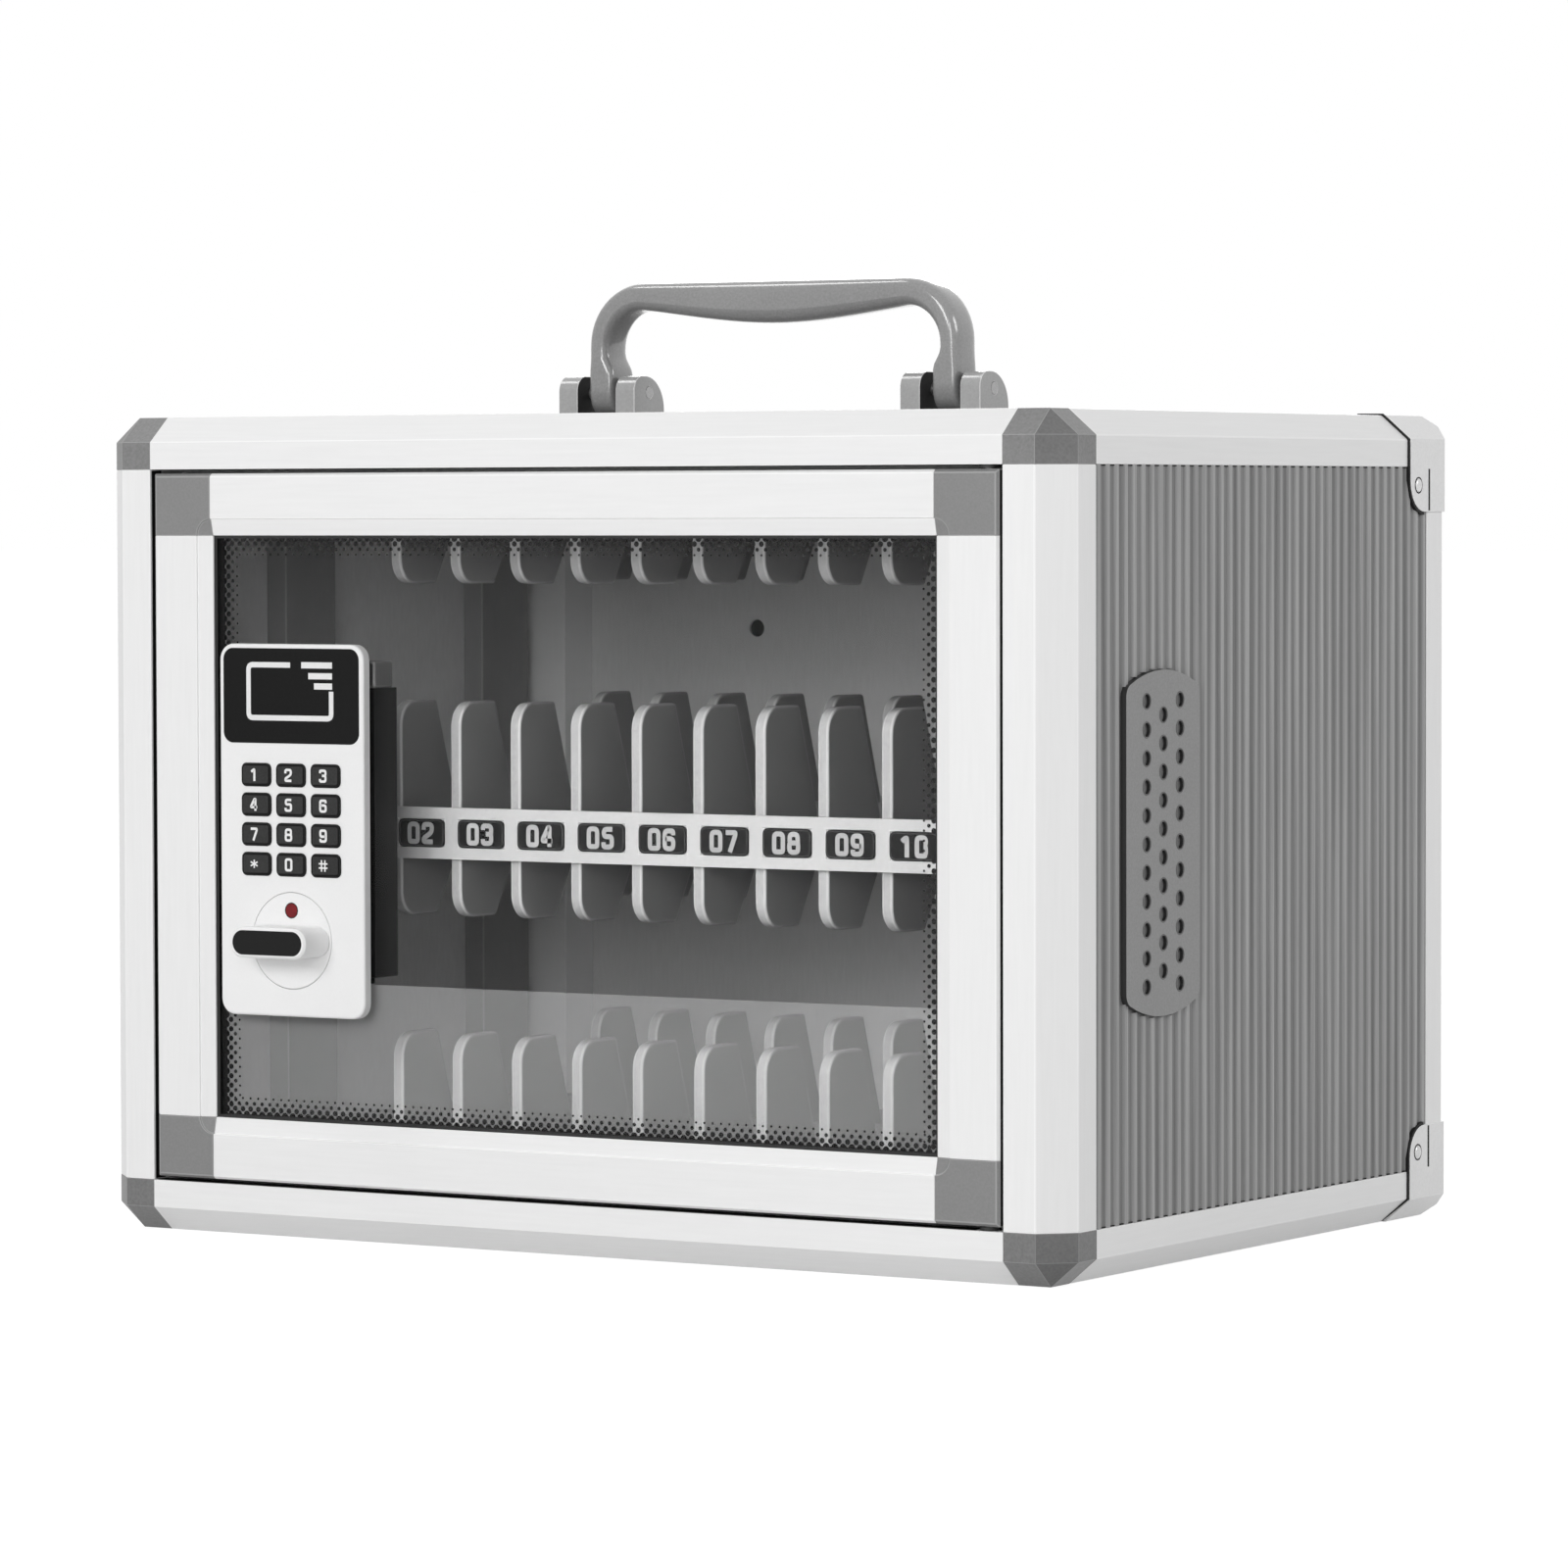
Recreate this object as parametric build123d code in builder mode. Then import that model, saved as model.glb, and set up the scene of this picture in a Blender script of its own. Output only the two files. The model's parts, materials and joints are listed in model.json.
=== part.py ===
"""Locking cell phone box: an aluminium-framed case with a glazed door, phone racks and a carrying handle.

Origin: centre of the footprint's bounding box, on the surface the box stands on.
Axes: +X to the right as seen from the door, +Y from the door to the back, +Z up. Millimetres.
"""
from build123d import *
import os
from math import floor, hypot, radians, sin, sqrt

os.makedirs("parts", exist_ok=True)

# ---------------------------------------------------------------- driving dimensions
# Case
BODY_W = 354.0  # over the side posts
BODY_D = 259.0  # front plane to back plane
BODY_H = 260.0  # underside of the bottom rails to the top of the top rails
POST = 20.4  # side of the square post, and depth of the rails
RAIL_H = 16.6  # height of a rail
BEVEL = 9.4  # horizontal leg of every bevel
BEVEL_H = 7.9  # vertical leg of the rails' bevels
WALL = 1.4  # wall of the extrusions
SPIGOT = 15.0  # length of a corner's spigot inside a bar
FIT = 0.1  # clearance between pieces that stay together
GROOVE = 5.0  # depth of the panel grooves
PANEL_T = 2.2  # thickness of the panels
PANEL_SET = 0.8  # how far the panels lie inside the bars' faces
RIB_PITCH = 5.5
RIB_FOOT = 3.2
RIB_CREST = 1.6
STOP_W = 4.0  # how far the door stop reaches into the opening
STOP_T = 2.8  # thickness of the door stop

# Rear corner guards
GUARD_T = 0.8
GUARD_LEG = 33.4  # length along the sides and the back
GUARD_H = 31.0  # height down the post
GUARD_R = 10.0  # rounding of the skirts' free corners
RIVET_R = 2.2
RIVET_IN = 28.0  # rivet from the back or side plane
RIVET_H = 22.5  # rivet from the top or bottom plane

# Side vents
VENT_W = 46.0
VENT_H = 104.2
VENT_BULGE = 5.2  # rise of the vent's curved ends
VENT_CORNER = 4.0
VENT_PROUD = 1.2
VENT_MID = 59.4  # centre of the vent behind the front plane
VENT_Z = 129.8
VENT_HOLE_R = 2.2
VENT_ROWS = 11
VENT_ROW_PITCH = 8.57
VENT_COLUMN_PITCH = 10.4

# Door
DOOR_GAP = 1.3
DOOR_BACK = 1.6  # door's back to the door stop
STILE_FACE = 17.0  # flat face of the upright bars
DOOR_RAIL_FACE = 14.5  # flat face of the level bars
BEAD = 5.2  # width of the sloping bead that holds the glass
BEAD_STEP = 0.6
BEAD_DROP = 1.8
BEAD_BACK = 1.6  # thickness of the lip behind the glass
EDGE = 1.0  # rounding of the door's outer front edges
GLASS_T = 4.0
GLASS_IN = 3.2  # glass behind the front plane
SEAL_T = 0.5
SEAL_SHOW = 0.9  # seal that shows past the bead
DOOR_SPIGOT = 14.0

# Door pivots
PIN_R = 1.7
PIN_IN = 5.0  # pivot axis from the door's right edge
PIN_BACK = 3.6  # pivot axis behind the front plane
PIN_HOLD = 8.0  # pin inside the rail
PIN_REACH = 8.0  # pin inside the door
RUN = 0.06  # radial running clearance
WASHER_R = 3.1
WASHER_T = 1.1

# Lock
LOCK_IN = 75.5  # middle of the lock from the case's left side
LOCK_LOW = 70.8
LOCK_W = 55.6
LOCK_H = 117.5
LOCK_CORNER = 5.0
LOCK_PROUD = 0.3  # lock's face in front of the door's face
LOCK_EDGE = 0.9
WINDOW_W = 52.4
WINDOW_H = 29.9
WINDOW_T = 0.8
WINDOW_MARGIN = 1.4
KEY_W = 10.2
KEY_H = 6.1
KEY_PITCH_X = 13.4
KEY_PITCH_Z = 9.4
KEY_TOP_UP = 76.2  # middle of the top row above the lock's lower edge
KEY_PROUD = 0.8
KEY_GAP = 0.2
KEY_FLANGE = 0.7
KEY_FLANGE_T = 0.6
KEY_POCKET = 1.8
KEY_TRAVEL = 0.9
KEY_BACK = 1.0  # key's back in front of the glass
KNOB_UP = 24.0  # knob above the lock's lower edge
KNOB_LEN = 29.4
KNOB_W = 9.6
KNOB_REACH = 13.5  # knob's face in front of the lock's face
KNOB_CLEAR = 0.5
INSERT_LEN = 26.6
INSERT_W = 7.6
INSERT_T = 0.6
SPINDLE_R = 4.0
ROSETTE_R = 15.2
ROSETTE_T = 1.0
ROSETTE_PROUD = 0.25
LED_R = 2.2
LED_UP = 9.6
LOCK_BODY_UP = 12.9  # inner body above the lock's lower edge
LOCK_BODY_H = 90.9
LOCK_BODY_SHORT = 0.6  # lock body's back in front of the posts' back
LOCK_BODY_SIDE = 0.3  # inset from the lock plate's side
COVER_H = 8.4
COVER_T = 10.3
LOCK_SCREW_R = 1.5
SCREW_HEAD_T = 1.4
SCREW_BITE = 2.3  # screw inside the lock plate
GLASS_ROOM = 1.5  # free space round the spindle in the glass
LOCK_SCREW_X = 22.8
LOCK_SCREW_UPS = (41.2, 82.2)  # screws above the lock's lower edge
BOLT_THROW = 12.0
BOLT_T = 3.0
BOLT_H = 11.0
BOLT_TIP = 1.5  # tip of the withdrawn bolt from the door stop
BOLT_END = 4.0  # bolt past the crank pin
BOLT_BELOW = 3.5  # bolt below the lowest place of the crank pin's axis
BOLT_CLEAR = 0.5  # crank to bolt and bolt to housing
CRANK_T = 1.8
CRANK_ROOM = 1.0  # free space round the crank
CRANK_SINK = 1.2  # crank inside the lock body's recess
CRANK_PIN_R = 1.5
CRANK_PLAY = 0.45  # play of the crank pin in the bolt's slot
HOUSING_WALL = 1.5
HOUSING_ROOM = 2.5  # housing's outside past the bolt
HOUSING_UP = 7.5  # housing's top above the knob's axis

# Phone racks
SLOTS = 10
SLOT_PITCH = 22.8
DIVIDER_T = 4.0
DIVIDER_D = 31.0  # depth at the number rail
DIVIDER_TIP = 20.0  # depth at the tips
DIVIDER_UP = 33.6  # rise above the number rail
DIVIDER_DOWN = 18.7  # drop below the number rail
DIVIDER_ROUND = 8.0
RACK_FRONT = 41.0  # number rail behind the front plane
RACK_SPLIT = 114.0  # front divider to rear divider
RACK_PITCH = 106.1
RACK_MID_Z = 119.5  # underside of the middle number rail
NUMBER_RAIL_H = 16.4
NUMBER_RAIL_T = 2.5
SHELF_T = 3.0
SHELF_UP = 11.0  # underside of the shelf above the number rail's underside
SHELF_BACK = 24.5  # shelf to the rear panel
NUMBER_W = 17.7
NUMBER_H = 9.0
NUMBER_T = 0.8
NUMBER_PROUD = 0.3
UPRIGHT_T = 8.0
UPRIGHT_W = 28.0
UPRIGHT_MIDS = (101.0, 215.5)  # middles of the uprights behind the front plane
DADO = 3.0

# Back panel
WALL_HOLE_R = 3.0
WALL_HOLE_SPACING = 177.0
WALL_HOLE_Z = 189.3

# Handle
HANDLE_MID = 128.5  # middle of the handle behind the front plane
BRACKET_SPACING = 130.0
BRACKET_W = 29.4
BRACKET_D = 18.0
BRACKET_H = 14.6
EAR_T = 7.3
BRACKET_BASE = 1.5
BRACKET_FRONT_R = 5.0
BRACKET_BACK_R = 11.0
HANDLE_PIN_R = 2.0
HANDLE_AXIS_UP = 9.2  # pin above the top panel
BAIL_D = 14.5
BAIL_LEG = 7.2
BAIL_FOOT = 9.6
BAIL_RISE = 35.6  # top of the grip above the pin
BAIL_GRIP = 9.0  # grip's thickness at its ends
BAIL_BELLY = 4.8  # extra thickness in the middle
BAIL_OUTER_R = 20.0
BAIL_EDGE = 2.4
BAIL_FLARE = (6.0, 13.0)  # heights above the pin where a leg widens to its foot

# ---------------------------------------------------------------- derived places
HALF_W = BODY_W / 2
REACH = LOCK_PROUD + KNOB_REACH
FRONT = (REACH - BODY_D - GUARD_T) / 2  # front plane of the case
BACK = FRONT + BODY_D
MID_Y = (FRONT + BACK) / 2
MID_Z = BODY_H / 2
INNER_W = BODY_W - 2 * POST
INNER_D = BODY_D - 2 * POST
INNER_H = BODY_H - 2 * RAIL_H
TONGUE = GROOVE - 0.3  # how far a panel enters its groove
PANEL_IN = PANEL_SET + PANEL_T  # inside face of a panel


def save(piece, name):
    """Label a finished piece and write it as its own file."""
    piece.part.label = name
    export_step(piece.part, f"parts/{name}.step")


def slab(x, y, z, mode=Mode.ADD):
    """Add or cut a box between two limits along each axis."""
    with Locations((sum(x) / 2, sum(y) / 2, sum(z) / 2)):
        Box(abs(x[1] - x[0]), abs(y[1] - y[0]), abs(z[1] - z[0]), mode=mode)


def rod(x, z, radius, y0, y1, mode=Mode.ADD):
    """Add or cut a round bar along Y between y0 and y1."""
    with Locations((x, (y0 + y1) / 2, z)):
        Cylinder(radius, y1 - y0, rotation=(90, 0, 0), mode=mode)


# ---------------------------------------------------------------- extruded bars of the case
# A bar's section is drawn from its bevelled outer corner: a runs in from one outer face, b from the other.
def outer_points(a_len, b_len, bevel):
    """Corners of a bar's bevelled outline."""
    return [(bevel[0], 0), (a_len, 0), (a_len, b_len), (0, b_len), (0, bevel[1])]


def core_points(a_len, b_len, bevel, wall, groove_a, groove_b):
    """Corners of a bar's hollow, which keeps clear of the panel grooves."""
    ca, cb = bevel
    slope = ca * cb + wall * hypot(ca, cb)
    step = PANEL_IN + FIT + wall
    points = [((slope - ca * wall) / cb, wall)]
    if groove_a:
        points += [(a_len - GROOVE - wall, wall), (a_len - GROOVE - wall, step)]
    points += [(a_len - wall, step if groove_a else wall), (a_len - wall, b_len - wall)]
    if groove_b:
        points += [(step, b_len - wall), (step, b_len - GROOVE - wall)]
    points += [(wall, b_len - GROOVE - wall if groove_b else b_len - wall), (wall, (slope - cb * wall) / ca)]
    return points


def draw(place, points, mode=Mode.ADD):
    """Draw a section's polygon, with each point put in place by the bar's own rule."""
    Polygon(*[place(a, b) for a, b in points], align=None, mode=mode)


def draw_bar(place, a_len, b_len, bevel, groove_a=False, groove_b=False, stop=None):
    """Draw the section of a hollow bar with its panel grooves and, at the door, its stop."""
    draw(place, outer_points(a_len, b_len, bevel))
    if stop == "a":
        draw(place, rectangle(a_len, a_len + STOP_W, b_len - STOP_T, b_len))
    if stop == "b":
        draw(place, rectangle(a_len - STOP_T, a_len, b_len, b_len + STOP_W))
    draw(place, core_points(a_len, b_len, bevel, WALL, groove_a, groove_b), Mode.SUBTRACT)
    low, high = PANEL_SET - FIT, PANEL_IN + FIT
    if groove_a:
        draw(place, rectangle(a_len - GROOVE, a_len, low, high), Mode.SUBTRACT)
    if groove_b:
        draw(place, rectangle(low, high, b_len - GROOVE, b_len), Mode.SUBTRACT)


def rectangle(a0, a1, b0, b1):
    """Corners of a rectangle in a bar's section."""
    return [(a0, b0), (a1, b0), (a1, b1), (a0, b1)]


def from_side(side, end):
    """Place a section point in plan: a from the side face, b from the front (-1) or back (1) plane."""
    return lambda a, b: (side * (HALF_W - a), FRONT + b if end < 0 else BACK - b)


def from_end(end, level):
    """Place a section point in the YZ plane: a from the front or back plane, b from the bottom or top."""
    return lambda a, b: (FRONT + a if end < 0 else BACK - a, b if level < 0 else BODY_H - b)


def from_flank(side, level):
    """Place a section point in the XZ plane: a from the side face, b from the bottom or top."""
    return lambda a, b: (side * (HALF_W - a), b if level < 0 else BODY_H - b)


SQUARE_BEVEL = (BEVEL, BEVEL)
RAIL_BEVEL = (BEVEL, BEVEL_H)
PLAN = Plane.XY.offset(MID_Z)
ACROSS = Plane.YZ
ALONG = Plane.XZ.offset(-MID_Y)

for side, name in ((-1, "front_post_left"), (1, "front_post_right")):
    with BuildPart() as front_post:
        with BuildSketch(PLAN):
            draw_bar(from_side(side, -1), POST, POST, SQUARE_BEVEL, groove_b=True, stop="a")
        extrude(amount=INNER_H / 2, both=True)
        for low, high in ((RAIL_H, RAIL_H + STOP_W), (BODY_H - RAIL_H - STOP_W, BODY_H - RAIL_H)):
            stop_x = (side * (HALF_W - POST), side * (HALF_W - POST - STOP_W))
            slab(stop_x, (FRONT + POST - STOP_T, FRONT + POST), (low, high), Mode.SUBTRACT)
    save(front_post, name)

with BuildPart() as rear_posts:
    for side in (-1, 1):
        with BuildSketch(PLAN):
            draw_bar(from_side(side, 1), POST, POST, SQUARE_BEVEL, groove_a=True, groove_b=True)
        extrude(amount=INNER_H / 2, both=True)
save(rear_posts, "rear_posts")

# The door turns on two pins: their axis, and the holes that the rails need for them.
DOOR_T = POST - STOP_T - DOOR_BACK
PIN_X = HALF_W - POST - DOOR_GAP - PIN_IN
PIN_Y = FRONT + PIN_BACK
PIN_LEVELS = ((-1, RAIL_H), (1, BODY_H - RAIL_H))


def pin_bore(level, rail_z):
    """Cut the hole that holds a door pin, from the opening into a rail."""
    with Locations((PIN_X, PIN_Y, rail_z + level * PIN_HOLD / 2)):
        Cylinder(PIN_R + FIT / 2, PIN_HOLD, mode=Mode.SUBTRACT)


for (level, rail_z), name in zip(PIN_LEVELS, ("front_rail_bottom", "front_rail_top")):
    with BuildPart() as front_rail:
        with BuildSketch(ACROSS):
            draw_bar(from_end(-1, level), POST, RAIL_H, RAIL_BEVEL, groove_a=True, stop="b")
        extrude(amount=INNER_W / 2, both=True)
        pin_bore(level, rail_z)
    save(front_rail, name)

with BuildPart() as rear_rails:
    for level in (-1, 1):
        with BuildSketch(ACROSS):
            draw_bar(from_end(1, level), POST, RAIL_H, RAIL_BEVEL, groove_a=True, groove_b=True)
        extrude(amount=INNER_W / 2, both=True)
save(rear_rails, "rear_rails")

with BuildPart() as side_rails:
    for side in (-1, 1):
        for level in (-1, 1):
            with BuildSketch(ALONG):
                draw_bar(from_flank(side, level), POST, RAIL_H, RAIL_BEVEL, groove_a=True, groove_b=True)
            extrude(amount=INNER_D / 2, both=True)
save(side_rails, "side_rails")


# ---------------------------------------------------------------- corners of the case
def spigots(end):
    """Add the three spigots of the lower right corner at the front (-1) or back (1)."""
    wall = WALL + FIT
    side_x = HALF_W - POST
    end_y = FRONT + POST if end < 0 else BACK - POST
    with BuildSketch(Plane.YZ.offset(side_x)) as across:
        draw(from_end(end, -1), core_points(POST, RAIL_H, RAIL_BEVEL, wall, True, end > 0))
    extrude(across.sketch, amount=-SPIGOT)
    with BuildSketch(Plane.XZ.offset(-end_y)) as along:
        draw(from_flank(1, -1), core_points(POST, RAIL_H, RAIL_BEVEL, wall, True, True))
    extrude(along.sketch, amount=end * SPIGOT)
    with BuildSketch(Plane.XY.offset(RAIL_H)) as up:
        draw(from_side(1, end), core_points(POST, POST, SQUARE_BEVEL, wall, end > 0, True))
    extrude(up.sketch, amount=SPIGOT)


with BuildPart() as corner_caps:
    with BuildSketch(Plane.XY):
        draw(from_side(1, -1), outer_points(POST, POST, SQUARE_BEVEL))
    extrude(amount=RAIL_H)
    with BuildSketch(Plane.YZ.offset(HALF_W - POST)):
        draw(from_end(-1, -1), outer_points(POST, RAIL_H, RAIL_BEVEL))
    extrude(amount=POST, mode=Mode.INTERSECT)
    with BuildSketch(Plane.XZ.offset(-FRONT - POST)):
        draw(from_flank(1, -1), outer_points(POST, RAIL_H, RAIL_BEVEL))
    extrude(amount=POST, mode=Mode.INTERSECT)
    # A small three-cornered facet joins the tops of the three bevels.
    facet = Plane(
        origin=(HALF_W - BEVEL, FRONT, BEVEL_H),
        x_dir=(1, 1, 0),
        z_dir=(BEVEL_H, -BEVEL_H, -BEVEL),
    )
    split(bisect_by=facet, keep=Keep.BOTTOM)
    spigots(-1)
    mirror(about=Plane.YZ)
    mirror(about=PLAN)
    for level, rail_z in PIN_LEVELS:
        pin_bore(level, rail_z)
save(corner_caps, "corner_caps")


def corner_envelope(proud, leg, height):
    """Build the bevelled lower right rear corner, grown outwards by proud."""
    plan_in = BEVEL - proud * (sqrt(2) - 1)
    slant = hypot(BEVEL, BEVEL_H)
    foot = BEVEL - proud * slant / BEVEL_H
    rise = BEVEL_H - proud * (slant - BEVEL_H) / BEVEL
    plan = [(plan_in, -proud), (leg, -proud), (leg, leg), (-proud, leg), (-proud, plan_in)]
    flank = [(foot, 0), (leg, 0), (leg, height), (-proud, height), (-proud, rise)]
    with BuildSketch(Plane.XY) as seen_from_above:
        draw(from_side(1, 1), plan)
    extrude(seen_from_above.sketch, amount=height)
    with BuildSketch(Plane.YZ.offset(HALF_W - leg)) as seen_from_side:
        draw(from_end(1, -1), flank)
    extrude(seen_from_side.sketch, amount=leg + proud, mode=Mode.INTERSECT)
    with BuildSketch(Plane.XZ.offset(-BACK - proud)) as seen_from_back:
        draw(from_flank(1, -1), flank)
    extrude(seen_from_back.sketch, amount=leg + proud, mode=Mode.INTERSECT)


with BuildPart() as bars_inside:
    corner_envelope(0, GUARD_LEG, GUARD_H)
    slab((HALF_W - POST, HALF_W), (BACK - POST, BACK), (0, RAIL_H), Mode.SUBTRACT)

RIVET_PLACES = ((HALF_W, BACK - RIVET_IN), (HALF_W - RIVET_IN, BACK))

with BuildPart() as rear_corner_guards:
    corner_envelope(GUARD_T, GUARD_LEG, GUARD_H)
    add(bars_inside.part, mode=Mode.SUBTRACT)
    # Each skirt's free corner, on the panel, is rounded off.
    for skirt, from_corner in ((Plane.YZ.offset(HALF_W), BACK), (Plane.XZ.offset(-BACK), HALF_W)):
        with BuildSketch(skirt):
            with Locations((from_corner - GUARD_LEG, GUARD_H)):
                Rectangle(2 * GUARD_R, 2 * GUARD_R)
            with Locations((from_corner - GUARD_LEG + GUARD_R, GUARD_H - GUARD_R)):
                Circle(GUARD_R, mode=Mode.SUBTRACT)
        extrude(amount=GUARD_LEG if skirt.z_dir.X > 0 else -GUARD_LEG, mode=Mode.SUBTRACT)
    spigots(1)
    with Locations((HALF_W, BACK - RIVET_IN, RIVET_H)):
        Cylinder(RIVET_R / 2 + FIT / 2, 3 * POST, rotation=(0, 90, 0), mode=Mode.SUBTRACT)
    rod(HALF_W - RIVET_IN, RIVET_H, RIVET_R / 2 + FIT / 2, BACK - POST, BACK + POST, Mode.SUBTRACT)
    mirror(about=Plane.YZ)
    mirror(about=PLAN)
save(rear_corner_guards, "rear_corner_guards")

# Rivets draw the guards' skirts onto the side and back panels.
RIVET_GRIP = PANEL_IN + GUARD_T
RIVET_HEAD = 0.7

with BuildPart() as guard_rivets:
    with Locations((HALF_W + GUARD_T - RIVET_GRIP / 2, BACK - RIVET_IN, RIVET_H)):
        Cylinder(RIVET_R / 2, RIVET_GRIP, rotation=(0, 90, 0))
    with Locations((HALF_W + GUARD_T + RIVET_HEAD / 2, BACK - RIVET_IN, RIVET_H)):
        Cylinder(RIVET_R, RIVET_HEAD, rotation=(0, 90, 0))
    rod(HALF_W - RIVET_IN, RIVET_H, RIVET_R / 2, BACK - PANEL_IN, BACK + GUARD_T)
    rod(HALF_W - RIVET_IN, RIVET_H, RIVET_R, BACK + GUARD_T, BACK + GUARD_T + RIVET_HEAD)
    mirror(about=Plane.YZ)
    mirror(about=PLAN)
save(guard_rivets, "guard_rivets")


# ---------------------------------------------------------------- panels
VENT_Y = FRONT + VENT_MID
VENT_SHOULDER = VENT_H / 2 - VENT_BULGE  # height of the vent's corners from its middle
VENT_GAP = 0.3  # gap round the vent, where the ribs end
VENT_LAND = 5.0  # width of the panel that the vent lies on

for side, name in ((-1, "side_panel_left"), (1, "side_panel_right")):
    face_x = (side * (HALF_W - PANEL_SET), side * (HALF_W - PANEL_IN))
    with BuildPart() as side_panel:
        slab(face_x, (MID_Y - INNER_D / 2 - TONGUE, MID_Y + INNER_D / 2 + TONGUE),
             (MID_Z - INNER_H / 2, MID_Z + INNER_H / 2))
        slab(face_x, (MID_Y - INNER_D / 2, MID_Y + INNER_D / 2),
             (MID_Z - INNER_H / 2 - TONGUE, MID_Z + INNER_H / 2 + TONGUE))
        with BuildSketch(PLAN):
            with Locations((side * HALF_W, MID_Y)):
                with GridLocations(0, RIB_PITCH, 1, floor((INNER_D - RIB_FOOT) / RIB_PITCH) + 1):
                    Polygon(
                        (0, RIB_CREST / 2), (-side * PANEL_SET, RIB_FOOT / 2),
                        (-side * PANEL_SET, -RIB_FOOT / 2), (0, -RIB_CREST / 2), align=None,
                    )
        extrude(amount=INNER_H / 2, both=True)
        with BuildSketch(Plane.YZ.offset(side * (HALF_W - PANEL_SET / 2))):
            with Locations((VENT_Y, VENT_Z)):
                Rectangle(VENT_W + 2 * VENT_GAP, VENT_H + 2 * VENT_GAP)
        extrude(amount=PANEL_SET / 2, both=True, mode=Mode.SUBTRACT)
        slab((side * HALF_W, side * (HALF_W - PANEL_IN)),
             (VENT_Y - VENT_W / 2 + VENT_LAND, VENT_Y + VENT_W / 2 - VENT_LAND),
             (VENT_Z - VENT_H / 2 + 2 * VENT_LAND, VENT_Z + VENT_H / 2 - 2 * VENT_LAND), Mode.SUBTRACT)
        for rivet_z in (RIVET_H, BODY_H - RIVET_H):
            with Locations((side * HALF_W, BACK - RIVET_IN, rivet_z)):
                Cylinder(RIVET_R / 2 + FIT / 2, 3 * PANEL_IN, rotation=(0, 90, 0), mode=Mode.SUBTRACT)
    save(side_panel, name)

LEVEL_PANELS = (("bottom_panel", PANEL_SET, PANEL_IN), ("top_panel", BODY_H - PANEL_IN, BODY_H - PANEL_SET))
for name, low, high in LEVEL_PANELS:
    with BuildPart() as level_panel:
        slab((-INNER_W / 2 - TONGUE, INNER_W / 2 + TONGUE), (MID_Y - INNER_D / 2, MID_Y + INNER_D / 2), (low, high))
        slab((-INNER_W / 2, INNER_W / 2),
             (MID_Y - INNER_D / 2 - TONGUE, MID_Y + INNER_D / 2 + TONGUE), (low, high))
    save(level_panel, name)

with BuildPart() as rear_panel:
    panel_y = (BACK - PANEL_IN, BACK - PANEL_SET)
    slab((-INNER_W / 2 - TONGUE, INNER_W / 2 + TONGUE), panel_y, (MID_Z - INNER_H / 2, MID_Z + INNER_H / 2))
    slab((-INNER_W / 2, INNER_W / 2), panel_y,
         (MID_Z - INNER_H / 2 - TONGUE, MID_Z + INNER_H / 2 + TONGUE))
    for side in (-1, 1):
        rod(side * WALL_HOLE_SPACING / 2, WALL_HOLE_Z, WALL_HOLE_R, BACK - 2 * PANEL_IN, BACK, Mode.SUBTRACT)
        for rivet_z in (RIVET_H, BODY_H - RIVET_H):
            rod(side * (HALF_W - RIVET_IN), rivet_z, RIVET_R / 2 + FIT / 2, BACK - 2 * PANEL_IN, BACK,
                Mode.SUBTRACT)
save(rear_panel, "rear_panel")

with BuildPart() as vent_plates:
    with BuildSketch(Plane.YZ.offset(HALF_W - PANEL_SET)) as vent_face:
        with BuildLine(Location((VENT_Y, VENT_Z))):
            top = ThreePointArc((-VENT_W / 2, VENT_SHOULDER), (0, VENT_H / 2), (VENT_W / 2, VENT_SHOULDER))
            foot = ThreePointArc((-VENT_W / 2, -VENT_SHOULDER), (0, -VENT_H / 2), (VENT_W / 2, -VENT_SHOULDER))
            Line(top @ 0, foot @ 0)
            Line(top @ 1, foot @ 1)
        make_face()
        fillet(vent_face.vertices(), VENT_CORNER)
        with Locations((VENT_Y, VENT_Z)):
            for shift, rows in ((-1, VENT_ROWS), (0, VENT_ROWS - 1), (1, VENT_ROWS)):
                with Locations((shift * VENT_COLUMN_PITCH, 0)):
                    with GridLocations(0, VENT_ROW_PITCH, 1, rows):
                        Circle(VENT_HOLE_R, mode=Mode.SUBTRACT)
    extrude(amount=PANEL_SET + VENT_PROUD)
    mirror(about=Plane.YZ)
save(vent_plates, "vent_plates")

# ---------------------------------------------------------------- phone racks
NUMBER_RAIL_Y = (FRONT + RACK_FRONT, FRONT + RACK_FRONT + NUMBER_RAIL_T)
COMB_Y = (NUMBER_RAIL_Y[1], NUMBER_RAIL_Y[1] + RACK_SPLIT)  # fronts of the front and rear dividers
UPRIGHT_X = HALF_W - PANEL_IN  # outer face of an upright
SHELF_HALF = UPRIGHT_X - UPRIGHT_T + DADO - FIT  # shelf's end, inside the uprights' grooves
RAIL_HALF = HALF_W - POST - FIT
TIERS = (("bottom", RACK_MID_Z - RACK_PITCH), ("middle", RACK_MID_Z), ("top", RACK_MID_Z + RACK_PITCH))
DIVIDER_XS = [(i - SLOTS / 2) * SLOT_PITCH for i in range(1, SLOTS)]
SLOT_XS = [(i + 0.5 - SLOTS / 2) * SLOT_PITCH for i in range(SLOTS)]
SHELF_TOP_UP = SHELF_UP + SHELF_T


def shelf_z(tier_z):
    """Lower and upper face of a tier's shelf."""
    return tier_z + SHELF_UP, tier_z + SHELF_TOP_UP


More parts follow.
